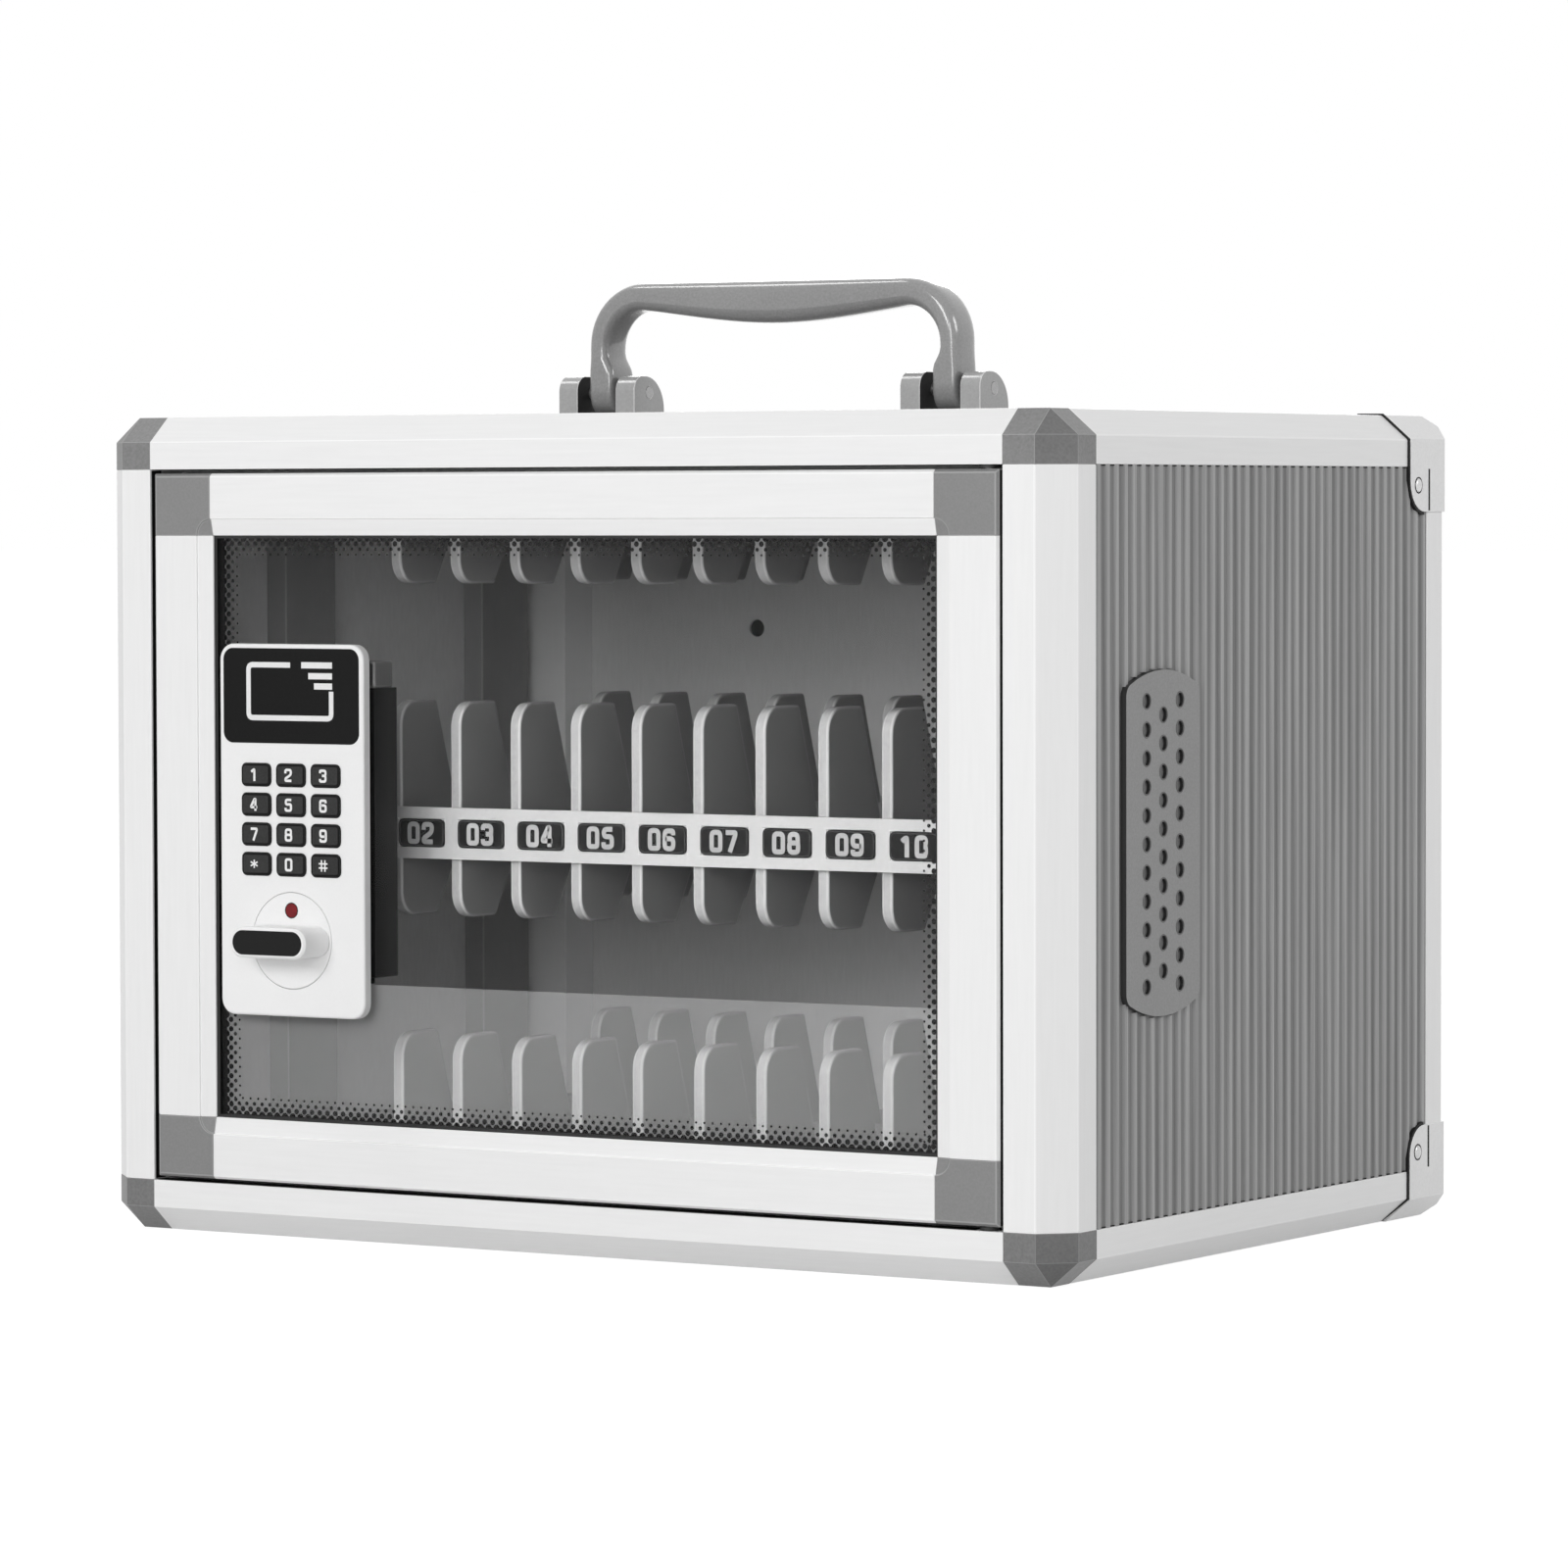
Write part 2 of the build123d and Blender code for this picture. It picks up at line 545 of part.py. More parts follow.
def divider_points(tier, tier_z):
    """Outline of a divider: rising above the shelf, hanging below it, or both, narrower at its tips."""
    low, high = shelf_z(tier_z)
    points = [(0, low), (0, high)]
    if tier != "top":
        tip = tier_z + NUMBER_RAIL_H + DIVIDER_UP
        points = [(0, low), (0, tip), (DIVIDER_TIP, tip), (DIVIDER_D, tier_z + NUMBER_RAIL_H), (DIVIDER_D, low)]
    else:
        points = [(0, low), (0, high), (DIVIDER_D, high), (DIVIDER_D, low)]
    if tier != "bottom":
        foot = tier_z - DIVIDER_DOWN
        points = points[1:-1] + [(DIVIDER_D, tier_z), (DIVIDER_TIP, foot), (0, foot)]
    return points


for tier, tier_z in TIERS:
    low, high = shelf_z(tier_z)
    with BuildPart() as shelf:
        slab((-SHELF_HALF, SHELF_HALF), (NUMBER_RAIL_Y[1], BACK - PANEL_IN - SHELF_BACK), (low, high))
        for comb_y in COMB_Y:
            for x in DIVIDER_XS:
                slab((x - DIVIDER_T / 2 - FIT, x + DIVIDER_T / 2 + FIT),
                     (comb_y - FIT, comb_y + DIVIDER_D + FIT), (low, high), Mode.SUBTRACT)
    save(shelf, f"shelf_{tier}")

    with BuildPart() as dividers:
        for comb_y in COMB_Y:
            for x in DIVIDER_XS:
                with BuildSketch(Plane.YZ.offset(x)) as fin:
                    with Locations((comb_y, 0)):
                        Polygon(*divider_points(tier, tier_z), align=None)
                    tips = fin.vertices().filter_by_position(Axis.X, comb_y, comb_y)
                    levels = tips.sort_by(Axis.Y)
                    rounded = {"bottom": levels[-1:], "middle": levels, "top": levels[:1]}[tier]
                    fillet(rounded, DIVIDER_ROUND)
                extrude(amount=DIVIDER_T / 2, both=True)
    save(dividers, f"dividers_{tier}")

with BuildPart() as number_rails:
    for tier, tier_z in TIERS:
        slab((-RAIL_HALF, RAIL_HALF), NUMBER_RAIL_Y, (tier_z, tier_z + NUMBER_RAIL_H))
        if tier != "top":
            for x in SLOT_XS:
                slab((x - NUMBER_W / 2, x + NUMBER_W / 2),
                     (NUMBER_RAIL_Y[0], NUMBER_RAIL_Y[0] + NUMBER_T - NUMBER_PROUD),
                     (tier_z + NUMBER_RAIL_H / 2 - NUMBER_H / 2, tier_z + NUMBER_RAIL_H / 2 + NUMBER_H / 2),
                     Mode.SUBTRACT)
save(number_rails, "number_rails")

with BuildPart() as number_plates:
    for tier, tier_z in TIERS[:2]:
        with BuildSketch(Plane.XZ.offset(-NUMBER_RAIL_Y[0] + NUMBER_PROUD)):
            with Locations((0, tier_z + NUMBER_RAIL_H / 2)):
                with GridLocations(SLOT_PITCH, 0, SLOTS, 1):
                    RectangleRounded(NUMBER_W - FIT, NUMBER_H - FIT, DIVIDER_T / 4)
        extrude(amount=-NUMBER_T)
save(number_plates, "number_plates")

with BuildPart() as shelf_uprights:
    for side in (-1, 1):
        for mid in UPRIGHT_MIDS:
            upright_y = (FRONT + mid - UPRIGHT_W / 2, FRONT + mid + UPRIGHT_W / 2)
            slab((side * UPRIGHT_X, side * (UPRIGHT_X - UPRIGHT_T)), upright_y, (PANEL_IN, BODY_H - PANEL_IN))
            slab((side * UPRIGHT_X, side * (HALF_W - POST - FIT)), upright_y, (PANEL_IN, RAIL_H + FIT), Mode.SUBTRACT)
            slab((side * UPRIGHT_X, side * (HALF_W - POST - FIT)), upright_y,
                 (BODY_H - RAIL_H - FIT, BODY_H - PANEL_IN), Mode.SUBTRACT)
            for tier, tier_z in TIERS:
                low, high = shelf_z(tier_z)
                slab((side * (UPRIGHT_X - UPRIGHT_T), side * (UPRIGHT_X - UPRIGHT_T + DADO)), upright_y,
                     (low - FIT, high + FIT), Mode.SUBTRACT)
save(shelf_uprights, "shelf_uprights")

# ---------------------------------------------------------------- door
DOOR_HALF = HALF_W - POST - DOOR_GAP
DOOR_LOW = RAIL_H + DOOR_GAP
DOOR_TOP = BODY_H - DOOR_LOW
STILE_W = STILE_FACE + BEAD
DOOR_RAIL_W = DOOR_RAIL_FACE + BEAD
SEAT = GLASS_IN - SEAL_T  # bead's inner face
SEAT_BACK = GLASS_IN + GLASS_T + SEAL_T
POCKET = SEAL_T + FIT  # pocket's bottom from the flat face
GLASS_EDGE = POCKET + SEAL_T  # glass edge from the flat face
GLASS_HALF = DOOR_HALF - STILE_FACE - GLASS_EDGE
GLASS_LOW = DOOR_LOW + DOOR_RAIL_FACE + GLASS_EDGE
GLASS_HIGH = BODY_H - GLASS_LOW
GLASS_Y = (FRONT + GLASS_IN, FRONT + GLASS_IN + GLASS_T)


def door_bar_points(face):
    """Section of a door bar: a from its outer edge, b back from the front plane."""
    lip = face + BEAD
    return [
        (EDGE, 0), (face, 0), (face, BEAD_STEP), (lip, BEAD_DROP), (lip, SEAT), (face + POCKET, SEAT),
        (face + POCKET, SEAT_BACK), (lip, SEAT_BACK), (lip, SEAT_BACK + BEAD_BACK),
        (face, SEAT_BACK + BEAD_BACK), (face, DOOR_T), (0, DOOR_T), (0, EDGE),
    ]


for side, name in ((-1, "door_stile_left"), (1, "door_stile_right")):
    with BuildPart() as stile:
        with BuildSketch(PLAN):
            draw(lambda a, b: (side * (DOOR_HALF - a), FRONT + b), door_bar_points(STILE_FACE))
            draw(lambda a, b: (side * (DOOR_HALF - a), FRONT + b),
                 rectangle(WALL, STILE_FACE - WALL, WALL + EDGE / 2, DOOR_T - WALL), Mode.SUBTRACT)
        extrude(amount=(DOOR_TOP - DOOR_LOW) / 2 - DOOR_RAIL_W, both=True)
    save(stile, name)

for level, name in ((-1, "door_rail_bottom"), (1, "door_rail_top")):
    with BuildPart() as door_rail:
        with BuildSketch(ACROSS):
            draw(lambda a, b: (FRONT + b, MID_Z + level * (DOOR_TOP - MID_Z - a)), door_bar_points(DOOR_RAIL_FACE))
            draw(lambda a, b: (FRONT + b, MID_Z + level * (DOOR_TOP - MID_Z - a)),
                 rectangle(WALL, DOOR_RAIL_FACE - WALL, WALL + EDGE / 2, DOOR_T - WALL), Mode.SUBTRACT)
        extrude(amount=DOOR_HALF - STILE_W, both=True)
    save(door_rail, name)

with BuildPart() as door_corners:
    inner_x = DOOR_HALF - STILE_W
    inner_z = DOOR_LOW + DOOR_RAIL_W
    lip_back = SEAT_BACK + BEAD_BACK
    slab((inner_x, DOOR_HALF), (FRONT, FRONT + DOOR_T), (DOOR_LOW, inner_z))
    outer_edges = door_corners.edges().group_by(Axis.Y)[0]
    chamfer([outer_edges.sort_by(Axis.X)[-1], outer_edges.sort_by(Axis.Z)[0]], EDGE)
    slab((inner_x, inner_x + BEAD), (FRONT + lip_back, FRONT + DOOR_T), (inner_z - BEAD, inner_z), Mode.SUBTRACT)
    slab((inner_x, inner_x + BEAD - POCKET), (FRONT + SEAT, FRONT + SEAT_BACK),
         (inner_z - BEAD + POCKET, inner_z), Mode.SUBTRACT)
    rod(inner_x, inner_z, BEAD, FRONT, FRONT + BEAD_STEP, Mode.SUBTRACT)
    with Locations((inner_x, FRONT + (BEAD_STEP + BEAD_DROP) / 2, inner_z)):
        Cone(0, BEAD, BEAD_DROP - BEAD_STEP, rotation=(90, 0, 0), mode=Mode.SUBTRACT)
    core = (WALL + FIT, STILE_FACE - WALL - FIT)
    core_y = (FRONT + WALL + EDGE / 2 + FIT, FRONT + DOOR_T - WALL - FIT)
    slab((DOOR_HALF - core[1], DOOR_HALF - core[0]), core_y, (inner_z, inner_z + DOOR_SPIGOT))
    core = (WALL + FIT, DOOR_RAIL_FACE - WALL - FIT)
    slab((inner_x - DOOR_SPIGOT, inner_x), core_y, (DOOR_LOW + core[0], DOOR_LOW + core[1]))
    mirror(about=Plane.YZ)
    mirror(about=PLAN)
    for level, edge_z in ((-1, DOOR_LOW), (1, DOOR_TOP)):
        with Locations((PIN_X, PIN_Y, edge_z - level * PIN_REACH / 2)):
            Cylinder(PIN_R + RUN, PIN_REACH + FIT, mode=Mode.SUBTRACT)
save(door_corners, "door_corners")

with BuildPart() as hinge_pins:
    for level, rail_z in PIN_LEVELS:
        ends = (rail_z + level * (PIN_HOLD - FIT), rail_z - level * (DOOR_GAP + PIN_REACH - 2 * FIT))
        with Locations((PIN_X, PIN_Y, sum(ends) / 2)):
            Cylinder(PIN_R, abs(ends[1] - ends[0]))
save(hinge_pins, "hinge_pins")

with BuildPart() as hinge_washers:
    for level, rail_z in PIN_LEVELS:
        with Locations((PIN_X, PIN_Y, rail_z - level * WASHER_T / 2)):
            Cylinder(WASHER_R, WASHER_T)
            Cylinder(PIN_R + FIT / 2, WASHER_T, mode=Mode.SUBTRACT)
save(hinge_washers, "hinge_washers")

# ---------------------------------------------------------------- lock on the door
LOCK_Y = FRONT - LOCK_PROUD  # lock's face
LOCK_X = LOCK_IN - HALF_W
LOCK_TOP = LOCK_LOW + LOCK_H
KNOB_Z = LOCK_LOW + KNOB_UP
LOCK_BODY_LOW = LOCK_LOW + LOCK_BODY_UP
LOCK_BODY_TOP = LOCK_BODY_LOW + LOCK_BODY_H
KNOB_FACE = LOCK_Y - KNOB_REACH
KNOB_BACK = LOCK_Y - KNOB_CLEAR
BODY_HALF = LOCK_W / 2 - LOCK_BODY_SIDE
BODY_Y = (GLASS_Y[1], FRONT + POST - LOCK_BODY_SHORT)
CRANK_Y = (BODY_Y[1] - CRANK_SINK, BODY_Y[1] - CRANK_SINK + CRANK_T)
CRANK_R = BOLT_THROW / sqrt(2)  # the pin swings 45 degrees each side of straight down
CRANK_DROP = CRANK_R * sin(radians(45))
BOLT_Y = (CRANK_Y[1] + BOLT_CLEAR, CRANK_Y[1] + BOLT_CLEAR + BOLT_T)
BOLT_Z = (KNOB_Z - CRANK_R - BOLT_BELOW, KNOB_Z - CRANK_R - BOLT_BELOW + BOLT_H)
BOLT_LEFT = -HALF_W + POST + STOP_W + BOLT_TIP
BOLT_RIGHT = LOCK_X + CRANK_DROP + CRANK_PIN_R + BOLT_END
HOUSING_X = (LOCK_X - BODY_HALF, BOLT_RIGHT + HOUSING_ROOM)
HOUSING_Z = (BOLT_Z[0] - HOUSING_ROOM, KNOB_Z + HOUSING_UP)
HOUSING_BACK = BOLT_Y[1] + BOLT_CLEAR + HOUSING_WALL
KEY_XS = [LOCK_X + KEY_PITCH_X * i for i in (-1, 0, 1)]
KEY_ZS = [LOCK_LOW + KEY_TOP_UP - KEY_PITCH_Z * i for i in range(4)]
KEY_POCKET_Y = LOCK_Y + LOCK_PROUD + GLASS_IN - KEY_POCKET


def lock_screw_places():
    """Places of the four screws that draw the lock's two halves together through the glass."""
    return [(LOCK_X + i * LOCK_SCREW_X, LOCK_LOW + up) for i in (-1, 1) for up in LOCK_SCREW_UPS]


with BuildPart() as door_glass:
    slab((-GLASS_HALF, GLASS_HALF), GLASS_Y, (GLASS_LOW, GLASS_HIGH))
    rod(LOCK_X, KNOB_Z, SPINDLE_R + GLASS_ROOM, *GLASS_Y, Mode.SUBTRACT)
    for x, z in lock_screw_places():
        rod(x, z, LOCK_SCREW_R + GLASS_ROOM / 2, *GLASS_Y, Mode.SUBTRACT)
save(door_glass, "door_glass")

with BuildPart() as glass_seal:
    seal_half = GLASS_HALF + SEAL_T
    seal_low = GLASS_LOW - SEAL_T
    open_half = DOOR_HALF - STILE_W - SEAL_SHOW
    open_low = DOOR_LOW + DOOR_RAIL_W + SEAL_SHOW
    seal_y = (FRONT + SEAT, FRONT + SEAT_BACK)
    slab((-seal_half, seal_half), seal_y, (seal_low, BODY_H - seal_low))
    slab((-open_half, open_half), seal_y, (open_low, BODY_H - open_low), Mode.SUBTRACT)
    slab((-GLASS_HALF, GLASS_HALF), GLASS_Y, (GLASS_LOW, GLASS_HIGH), Mode.SUBTRACT)
save(glass_seal, "glass_seal")

with BuildPart() as lock_plate:
    with BuildSketch(Plane.XZ.offset(-GLASS_Y[0])):
        with Locations((LOCK_X, LOCK_LOW + LOCK_H / 2)):
            RectangleRounded(LOCK_W, LOCK_H, LOCK_CORNER)
    extrude(amount=LOCK_PROUD + GLASS_IN)
    fillet(lock_plate.faces().sort_by(Axis.Y)[0].edges(), LOCK_EDGE)
    with BuildSketch(Plane.XZ.offset(-LOCK_Y)):
        with Locations((LOCK_X, LOCK_TOP - WINDOW_MARGIN - WINDOW_H / 2)):
            RectangleRounded(WINDOW_W + FIT, WINDOW_H + FIT, LOCK_CORNER - WINDOW_MARGIN)
    extrude(amount=-WINDOW_T, mode=Mode.SUBTRACT)
    with BuildSketch(Plane.XZ.offset(-LOCK_Y)):
        with Locations((LOCK_X, sum(KEY_ZS) / 4)):
            with GridLocations(KEY_PITCH_X, KEY_PITCH_Z, 3, 4):
                RectangleRounded(KEY_W + 2 * KEY_GAP, KEY_H + 2 * KEY_GAP, DIVIDER_T / 4)
    extrude(amount=-(LOCK_PROUD + GLASS_IN), mode=Mode.SUBTRACT)
    for x in KEY_XS:
        for z in KEY_ZS:
            grow = KEY_FLANGE + KEY_GAP
            slab((x - KEY_W / 2 - grow, x + KEY_W / 2 + grow), (KEY_POCKET_Y, GLASS_Y[0]),
                 (z - KEY_H / 2 - grow, z + KEY_H / 2 + grow), Mode.SUBTRACT)
    rod(LOCK_X, KNOB_Z, ROSETTE_R + KEY_GAP, LOCK_Y, LOCK_Y + ROSETTE_T, Mode.SUBTRACT)
    rod(LOCK_X, KNOB_Z, SPINDLE_R + 0.5, LOCK_Y, GLASS_Y[0], Mode.SUBTRACT)
    for x, z in lock_screw_places():
        rod(x, z, LOCK_SCREW_R + FIT / 2, GLASS_Y[0] - SCREW_BITE, GLASS_Y[0], Mode.SUBTRACT)
save(lock_plate, "lock_plate")

with BuildPart() as reader_window:
    with BuildSketch(Plane.XZ.offset(-LOCK_Y)):
        with Locations((LOCK_X, LOCK_TOP - WINDOW_MARGIN - WINDOW_H / 2)):
            RectangleRounded(WINDOW_W, WINDOW_H, LOCK_CORNER - WINDOW_MARGIN)
    extrude(amount=-WINDOW_T)
save(reader_window, "reader_window")

with BuildPart() as knob_rosette:
    rod(LOCK_X, KNOB_Z, ROSETTE_R, LOCK_Y - ROSETTE_PROUD, LOCK_Y + ROSETTE_T)
    chamfer(knob_rosette.faces().sort_by(Axis.Y)[0].edges(), ROSETTE_PROUD)
    rod(LOCK_X, KNOB_Z, SPINDLE_R + RUN, LOCK_Y - ROSETTE_PROUD, LOCK_Y + ROSETTE_T, Mode.SUBTRACT)
    rod(LOCK_X, KNOB_Z + LED_UP, LED_R + FIT / 2, LOCK_Y - ROSETTE_PROUD, LOCK_Y + ROSETTE_T, Mode.SUBTRACT)
save(knob_rosette, "knob_rosette")

with BuildPart() as status_led:
    rod(LOCK_X, KNOB_Z + LED_UP, LED_R, LOCK_Y - ROSETTE_PROUD, LOCK_Y + ROSETTE_T)
save(status_led, "status_led")

with BuildPart() as lock_body:
    slab((LOCK_X - BODY_HALF, LOCK_X + BODY_HALF), BODY_Y, (LOCK_BODY_LOW, LOCK_BODY_TOP))
    fillet(lock_body.edges().filter_by(Axis.Z).group_by(Axis.Y)[-1], LOCK_EDGE)
    rod(LOCK_X, KNOB_Z, SPINDLE_R + RUN, *BODY_Y, Mode.SUBTRACT)
    rod(LOCK_X, KNOB_Z, CRANK_R + CRANK_PIN_R + CRANK_ROOM, CRANK_Y[0] - 0.4, BODY_Y[1], Mode.SUBTRACT)
    for x, z in lock_screw_places():
        rod(x, z, LOCK_SCREW_R + FIT / 2, *BODY_Y, Mode.SUBTRACT)
save(lock_body, "lock_body")

with BuildPart() as lock_body_cover:
    slab((LOCK_X - BODY_HALF, LOCK_X + BODY_HALF), (GLASS_Y[1], GLASS_Y[1] + COVER_T), (LOCK_BODY_TOP, LOCK_BODY_TOP + COVER_H))
    fillet(lock_body_cover.edges().filter_by(Axis.Z).group_by(Axis.Y)[-1], LOCK_EDGE)
save(lock_body_cover, "lock_body_cover")

with BuildPart() as bolt_housing:
    slab(HOUSING_X, (BODY_Y[1], HOUSING_BACK), HOUSING_Z)
    slab((HOUSING_X[0] + HOUSING_WALL, HOUSING_X[1] - HOUSING_WALL), (BODY_Y[1], HOUSING_BACK - HOUSING_WALL),
         (HOUSING_Z[0] + HOUSING_WALL, HOUSING_Z[1] - HOUSING_WALL), Mode.SUBTRACT)
    slab((HOUSING_X[0], HOUSING_X[0] + HOUSING_WALL), (BOLT_Y[0] - 0.3, BOLT_Y[1] + 0.3),
         (BOLT_Z[0] - 0.3, BOLT_Z[1] + 0.3), Mode.SUBTRACT)
save(bolt_housing, "bolt_housing")

with BuildPart() as lock_screws:
    for x, z in lock_screw_places():
        rod(x, z, LOCK_SCREW_R, GLASS_Y[0] - SCREW_BITE, BODY_Y[1])
        rod(x, z, 2 * LOCK_SCREW_R, BODY_Y[1], BODY_Y[1] + SCREW_HEAD_T)
save(lock_screws, "lock_screws")

with BuildPart() as latch_bolt:
    slab((BOLT_LEFT, BOLT_RIGHT), BOLT_Y, BOLT_Z)
    chamfer(latch_bolt.edges().filter_by(Axis.Z).sort_by(Axis.X)[0:2], BOLT_T / 4)
    slot_half = CRANK_PIN_R + CRANK_PLAY
    slab((LOCK_X + CRANK_DROP - slot_half, LOCK_X + CRANK_DROP + slot_half), BOLT_Y,
         (KNOB_Z - CRANK_R - slot_half, BOLT_Z[1]), Mode.SUBTRACT)
save(latch_bolt, "latch_bolt")

with BuildPart() as lock_knob:
    with BuildSketch(Plane.XZ.offset(-KNOB_BACK)):
        with Locations((LOCK_X, KNOB_Z)):
            SlotOverall(KNOB_LEN, KNOB_W)
    extrude(amount=KNOB_BACK - KNOB_FACE)
    chamfer(lock_knob.faces().sort_by(Axis.Y)[0].edges(), INSERT_T)
    with BuildSketch(Plane.XZ.offset(-KNOB_FACE)):
        with Locations((LOCK_X, KNOB_Z)):
            SlotOverall(INSERT_LEN + FIT, INSERT_W + FIT)
    extrude(amount=-INSERT_T, mode=Mode.SUBTRACT)
    rod(LOCK_X, KNOB_Z, SPINDLE_R, KNOB_BACK, CRANK_Y[1])
    with BuildSketch(Plane.XZ.offset(-CRANK_Y[0])):
        with Locations((LOCK_X + CRANK_DROP / 2, KNOB_Z - CRANK_DROP / 2)):
            SlotCenterToCenter(CRANK_R, 2 * CRANK_PIN_R + CRANK_ROOM, rotation=-45)
    extrude(amount=-CRANK_T)
    rod(LOCK_X + CRANK_DROP, KNOB_Z - CRANK_DROP, CRANK_PIN_R, CRANK_Y[0], BOLT_Y[1])
save(lock_knob, "lock_knob")

with BuildPart() as knob_insert:
    with BuildSketch(Plane.XZ.offset(-KNOB_FACE)):
        with Locations((LOCK_X, KNOB_Z)):
            SlotOverall(INSERT_LEN, INSERT_W)
    extrude(amount=-INSERT_T)
save(knob_insert, "knob_insert")

KEY_NAMES = ("1", "2", "3", "4", "5", "6", "7", "8", "9", "star", "0", "hash")
for index, key_name in enumerate(KEY_NAMES):
    x = KEY_XS[index % 3]
    z = KEY_ZS[index // 3]
    with BuildPart() as key:
        with BuildSketch(Plane.XZ.offset(-LOCK_Y + KEY_PROUD)):
            with Locations((x, z)):
                RectangleRounded(KEY_W, KEY_H, DIVIDER_T / 4)
        extrude(amount=-(GLASS_Y[0] - KEY_BACK - LOCK_Y + KEY_PROUD))
        fillet(key.faces().sort_by(Axis.Y)[0].edges(), KEY_FLANGE_T)
        flange_y = (GLASS_Y[0] - KEY_BACK - KEY_FLANGE_T, GLASS_Y[0] - KEY_BACK)
        slab((x - KEY_W / 2 - KEY_FLANGE, x + KEY_W / 2 + KEY_FLANGE), flange_y,
             (z - KEY_H / 2 - KEY_FLANGE, z + KEY_H / 2 + KEY_FLANGE))
    save(key, f"key_{key_name}")

# ---------------------------------------------------------------- carrying handle
TOP_FACE = BODY_H - PANEL_SET
HANDLE_Y = FRONT + HANDLE_MID
AXIS_Z = TOP_FACE + HANDLE_AXIS_UP
BRACKET_X = BRACKET_SPACING / 2
EAR_MID = (BRACKET_W - EAR_T) / 2

with BuildPart() as handle_brackets:
    bracket_y = (HANDLE_Y - BRACKET_D / 2, HANDLE_Y + BRACKET_D / 2)
    slab((BRACKET_X - BRACKET_W / 2, BRACKET_X + BRACKET_W / 2), bracket_y, (TOP_FACE, TOP_FACE + BRACKET_BASE))
    for x in (BRACKET_X - EAR_MID, BRACKET_X + EAR_MID):
        with BuildSketch(Plane.YZ.offset(x)) as ear:
            with Locations((HANDLE_Y, TOP_FACE + BRACKET_H / 2)):
                Rectangle(BRACKET_D, BRACKET_H)
            crown = ear.vertices().group_by(Axis.Y)[-1].sort_by(Axis.X)
            fillet(crown[1], BRACKET_BACK_R)
            fillet(ear.vertices().group_by(Axis.Y)[-1].sort_by(Axis.X)[0], BRACKET_FRONT_R)
            with Locations((HANDLE_Y, AXIS_Z)):
                Circle(HANDLE_PIN_R + FIT / 2, mode=Mode.SUBTRACT)
        extrude(amount=EAR_T / 2, both=True)
    mirror(about=Plane.YZ)
save(handle_brackets, "handle_brackets")

with BuildPart() as handle_pins:
    for side in (-1, 1):
        with Locations((side * BRACKET_X, HANDLE_Y, AXIS_Z)):
            Cylinder(HANDLE_PIN_R, BRACKET_W, rotation=(0, 90, 0))
save(handle_pins, "handle_pins")

FOOT_R = BAIL_D / 2
BAIL_HALF = BRACKET_X + BAIL_FOOT / 2
LEG_IN = BAIL_HALF - BAIL_LEG  # inner face of a leg
BAIL_TOP = AXIS_Z + BAIL_RISE
GRIP_LOW = BAIL_TOP - BAIL_GRIP
FLARE_LOW = AXIS_Z + BAIL_FLARE[0]
FLARE_HIGH = AXIS_Z + BAIL_FLARE[1]
INNER_R = GRIP_LOW - FLARE_HIGH - 1.0

with BuildPart() as handle_bail:
    with BuildSketch(Plane.XZ.offset(-HANDLE_Y)) as arch:
        with BuildLine():
            foot_in = (BRACKET_X - BAIL_FOOT / 2, AXIS_Z - FOOT_R)
            Line((BAIL_HALF, AXIS_Z - FOOT_R), (BAIL_HALF, BAIL_TOP - BAIL_OUTER_R))
            shoulder = RadiusArc((BAIL_HALF, BAIL_TOP - BAIL_OUTER_R), (BAIL_HALF - BAIL_OUTER_R, BAIL_TOP),
                                 -BAIL_OUTER_R)
            Line(shoulder @ 1, (0, BAIL_TOP))
            Line((0, BAIL_TOP), (0, GRIP_LOW - BAIL_BELLY))
            belly = Spline((0, GRIP_LOW - BAIL_BELLY), (LEG_IN - INNER_R, GRIP_LOW), tangents=((1, 0), (1, 0.12)))
            elbow = Spline(belly @ 1, (LEG_IN, GRIP_LOW - INNER_R), tangents=((1, 0.12), (0, -1)))
            Line(elbow @ 1, (LEG_IN, FLARE_HIGH))
            flare = Spline((LEG_IN, FLARE_HIGH), (foot_in[0], FLARE_LOW), tangents=((0, -1), (0, -1)))
            Line(flare @ 1, foot_in)
            Line(foot_in, (BAIL_HALF, AXIS_Z - FOOT_R))
        make_face()
        mirror(about=Plane.YZ)
    extrude(amount=BAIL_D / 2, both=True)
    long_edges = handle_bail.edges().filter_by(lambda e: abs(abs(e.center().Y - HANDLE_Y) - BAIL_D / 2) < FIT)
    fillet(long_edges.filter_by(lambda e: e.center().Z > AXIS_Z - FOOT_R + FIT), BAIL_EDGE)
    with BuildSketch(Plane.YZ):
        with Locations((HANDLE_Y, AXIS_Z - FOOT_R)):
            Rectangle(2 * BAIL_D, 2 * FOOT_R)
        with Locations((HANDLE_Y, AXIS_Z)):
            Circle(FOOT_R, mode=Mode.SUBTRACT)
    extrude(amount=BODY_W, both=True, mode=Mode.SUBTRACT)
    with Locations((0, HANDLE_Y, AXIS_Z)):
        Cylinder(HANDLE_PIN_R + RUN, BODY_W, rotation=(0, 90, 0), mode=Mode.SUBTRACT)
save(handle_bail, "handle_bail")
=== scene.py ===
import json
import math

import bmesh
import bpy
from mathutils import Matrix, Vector

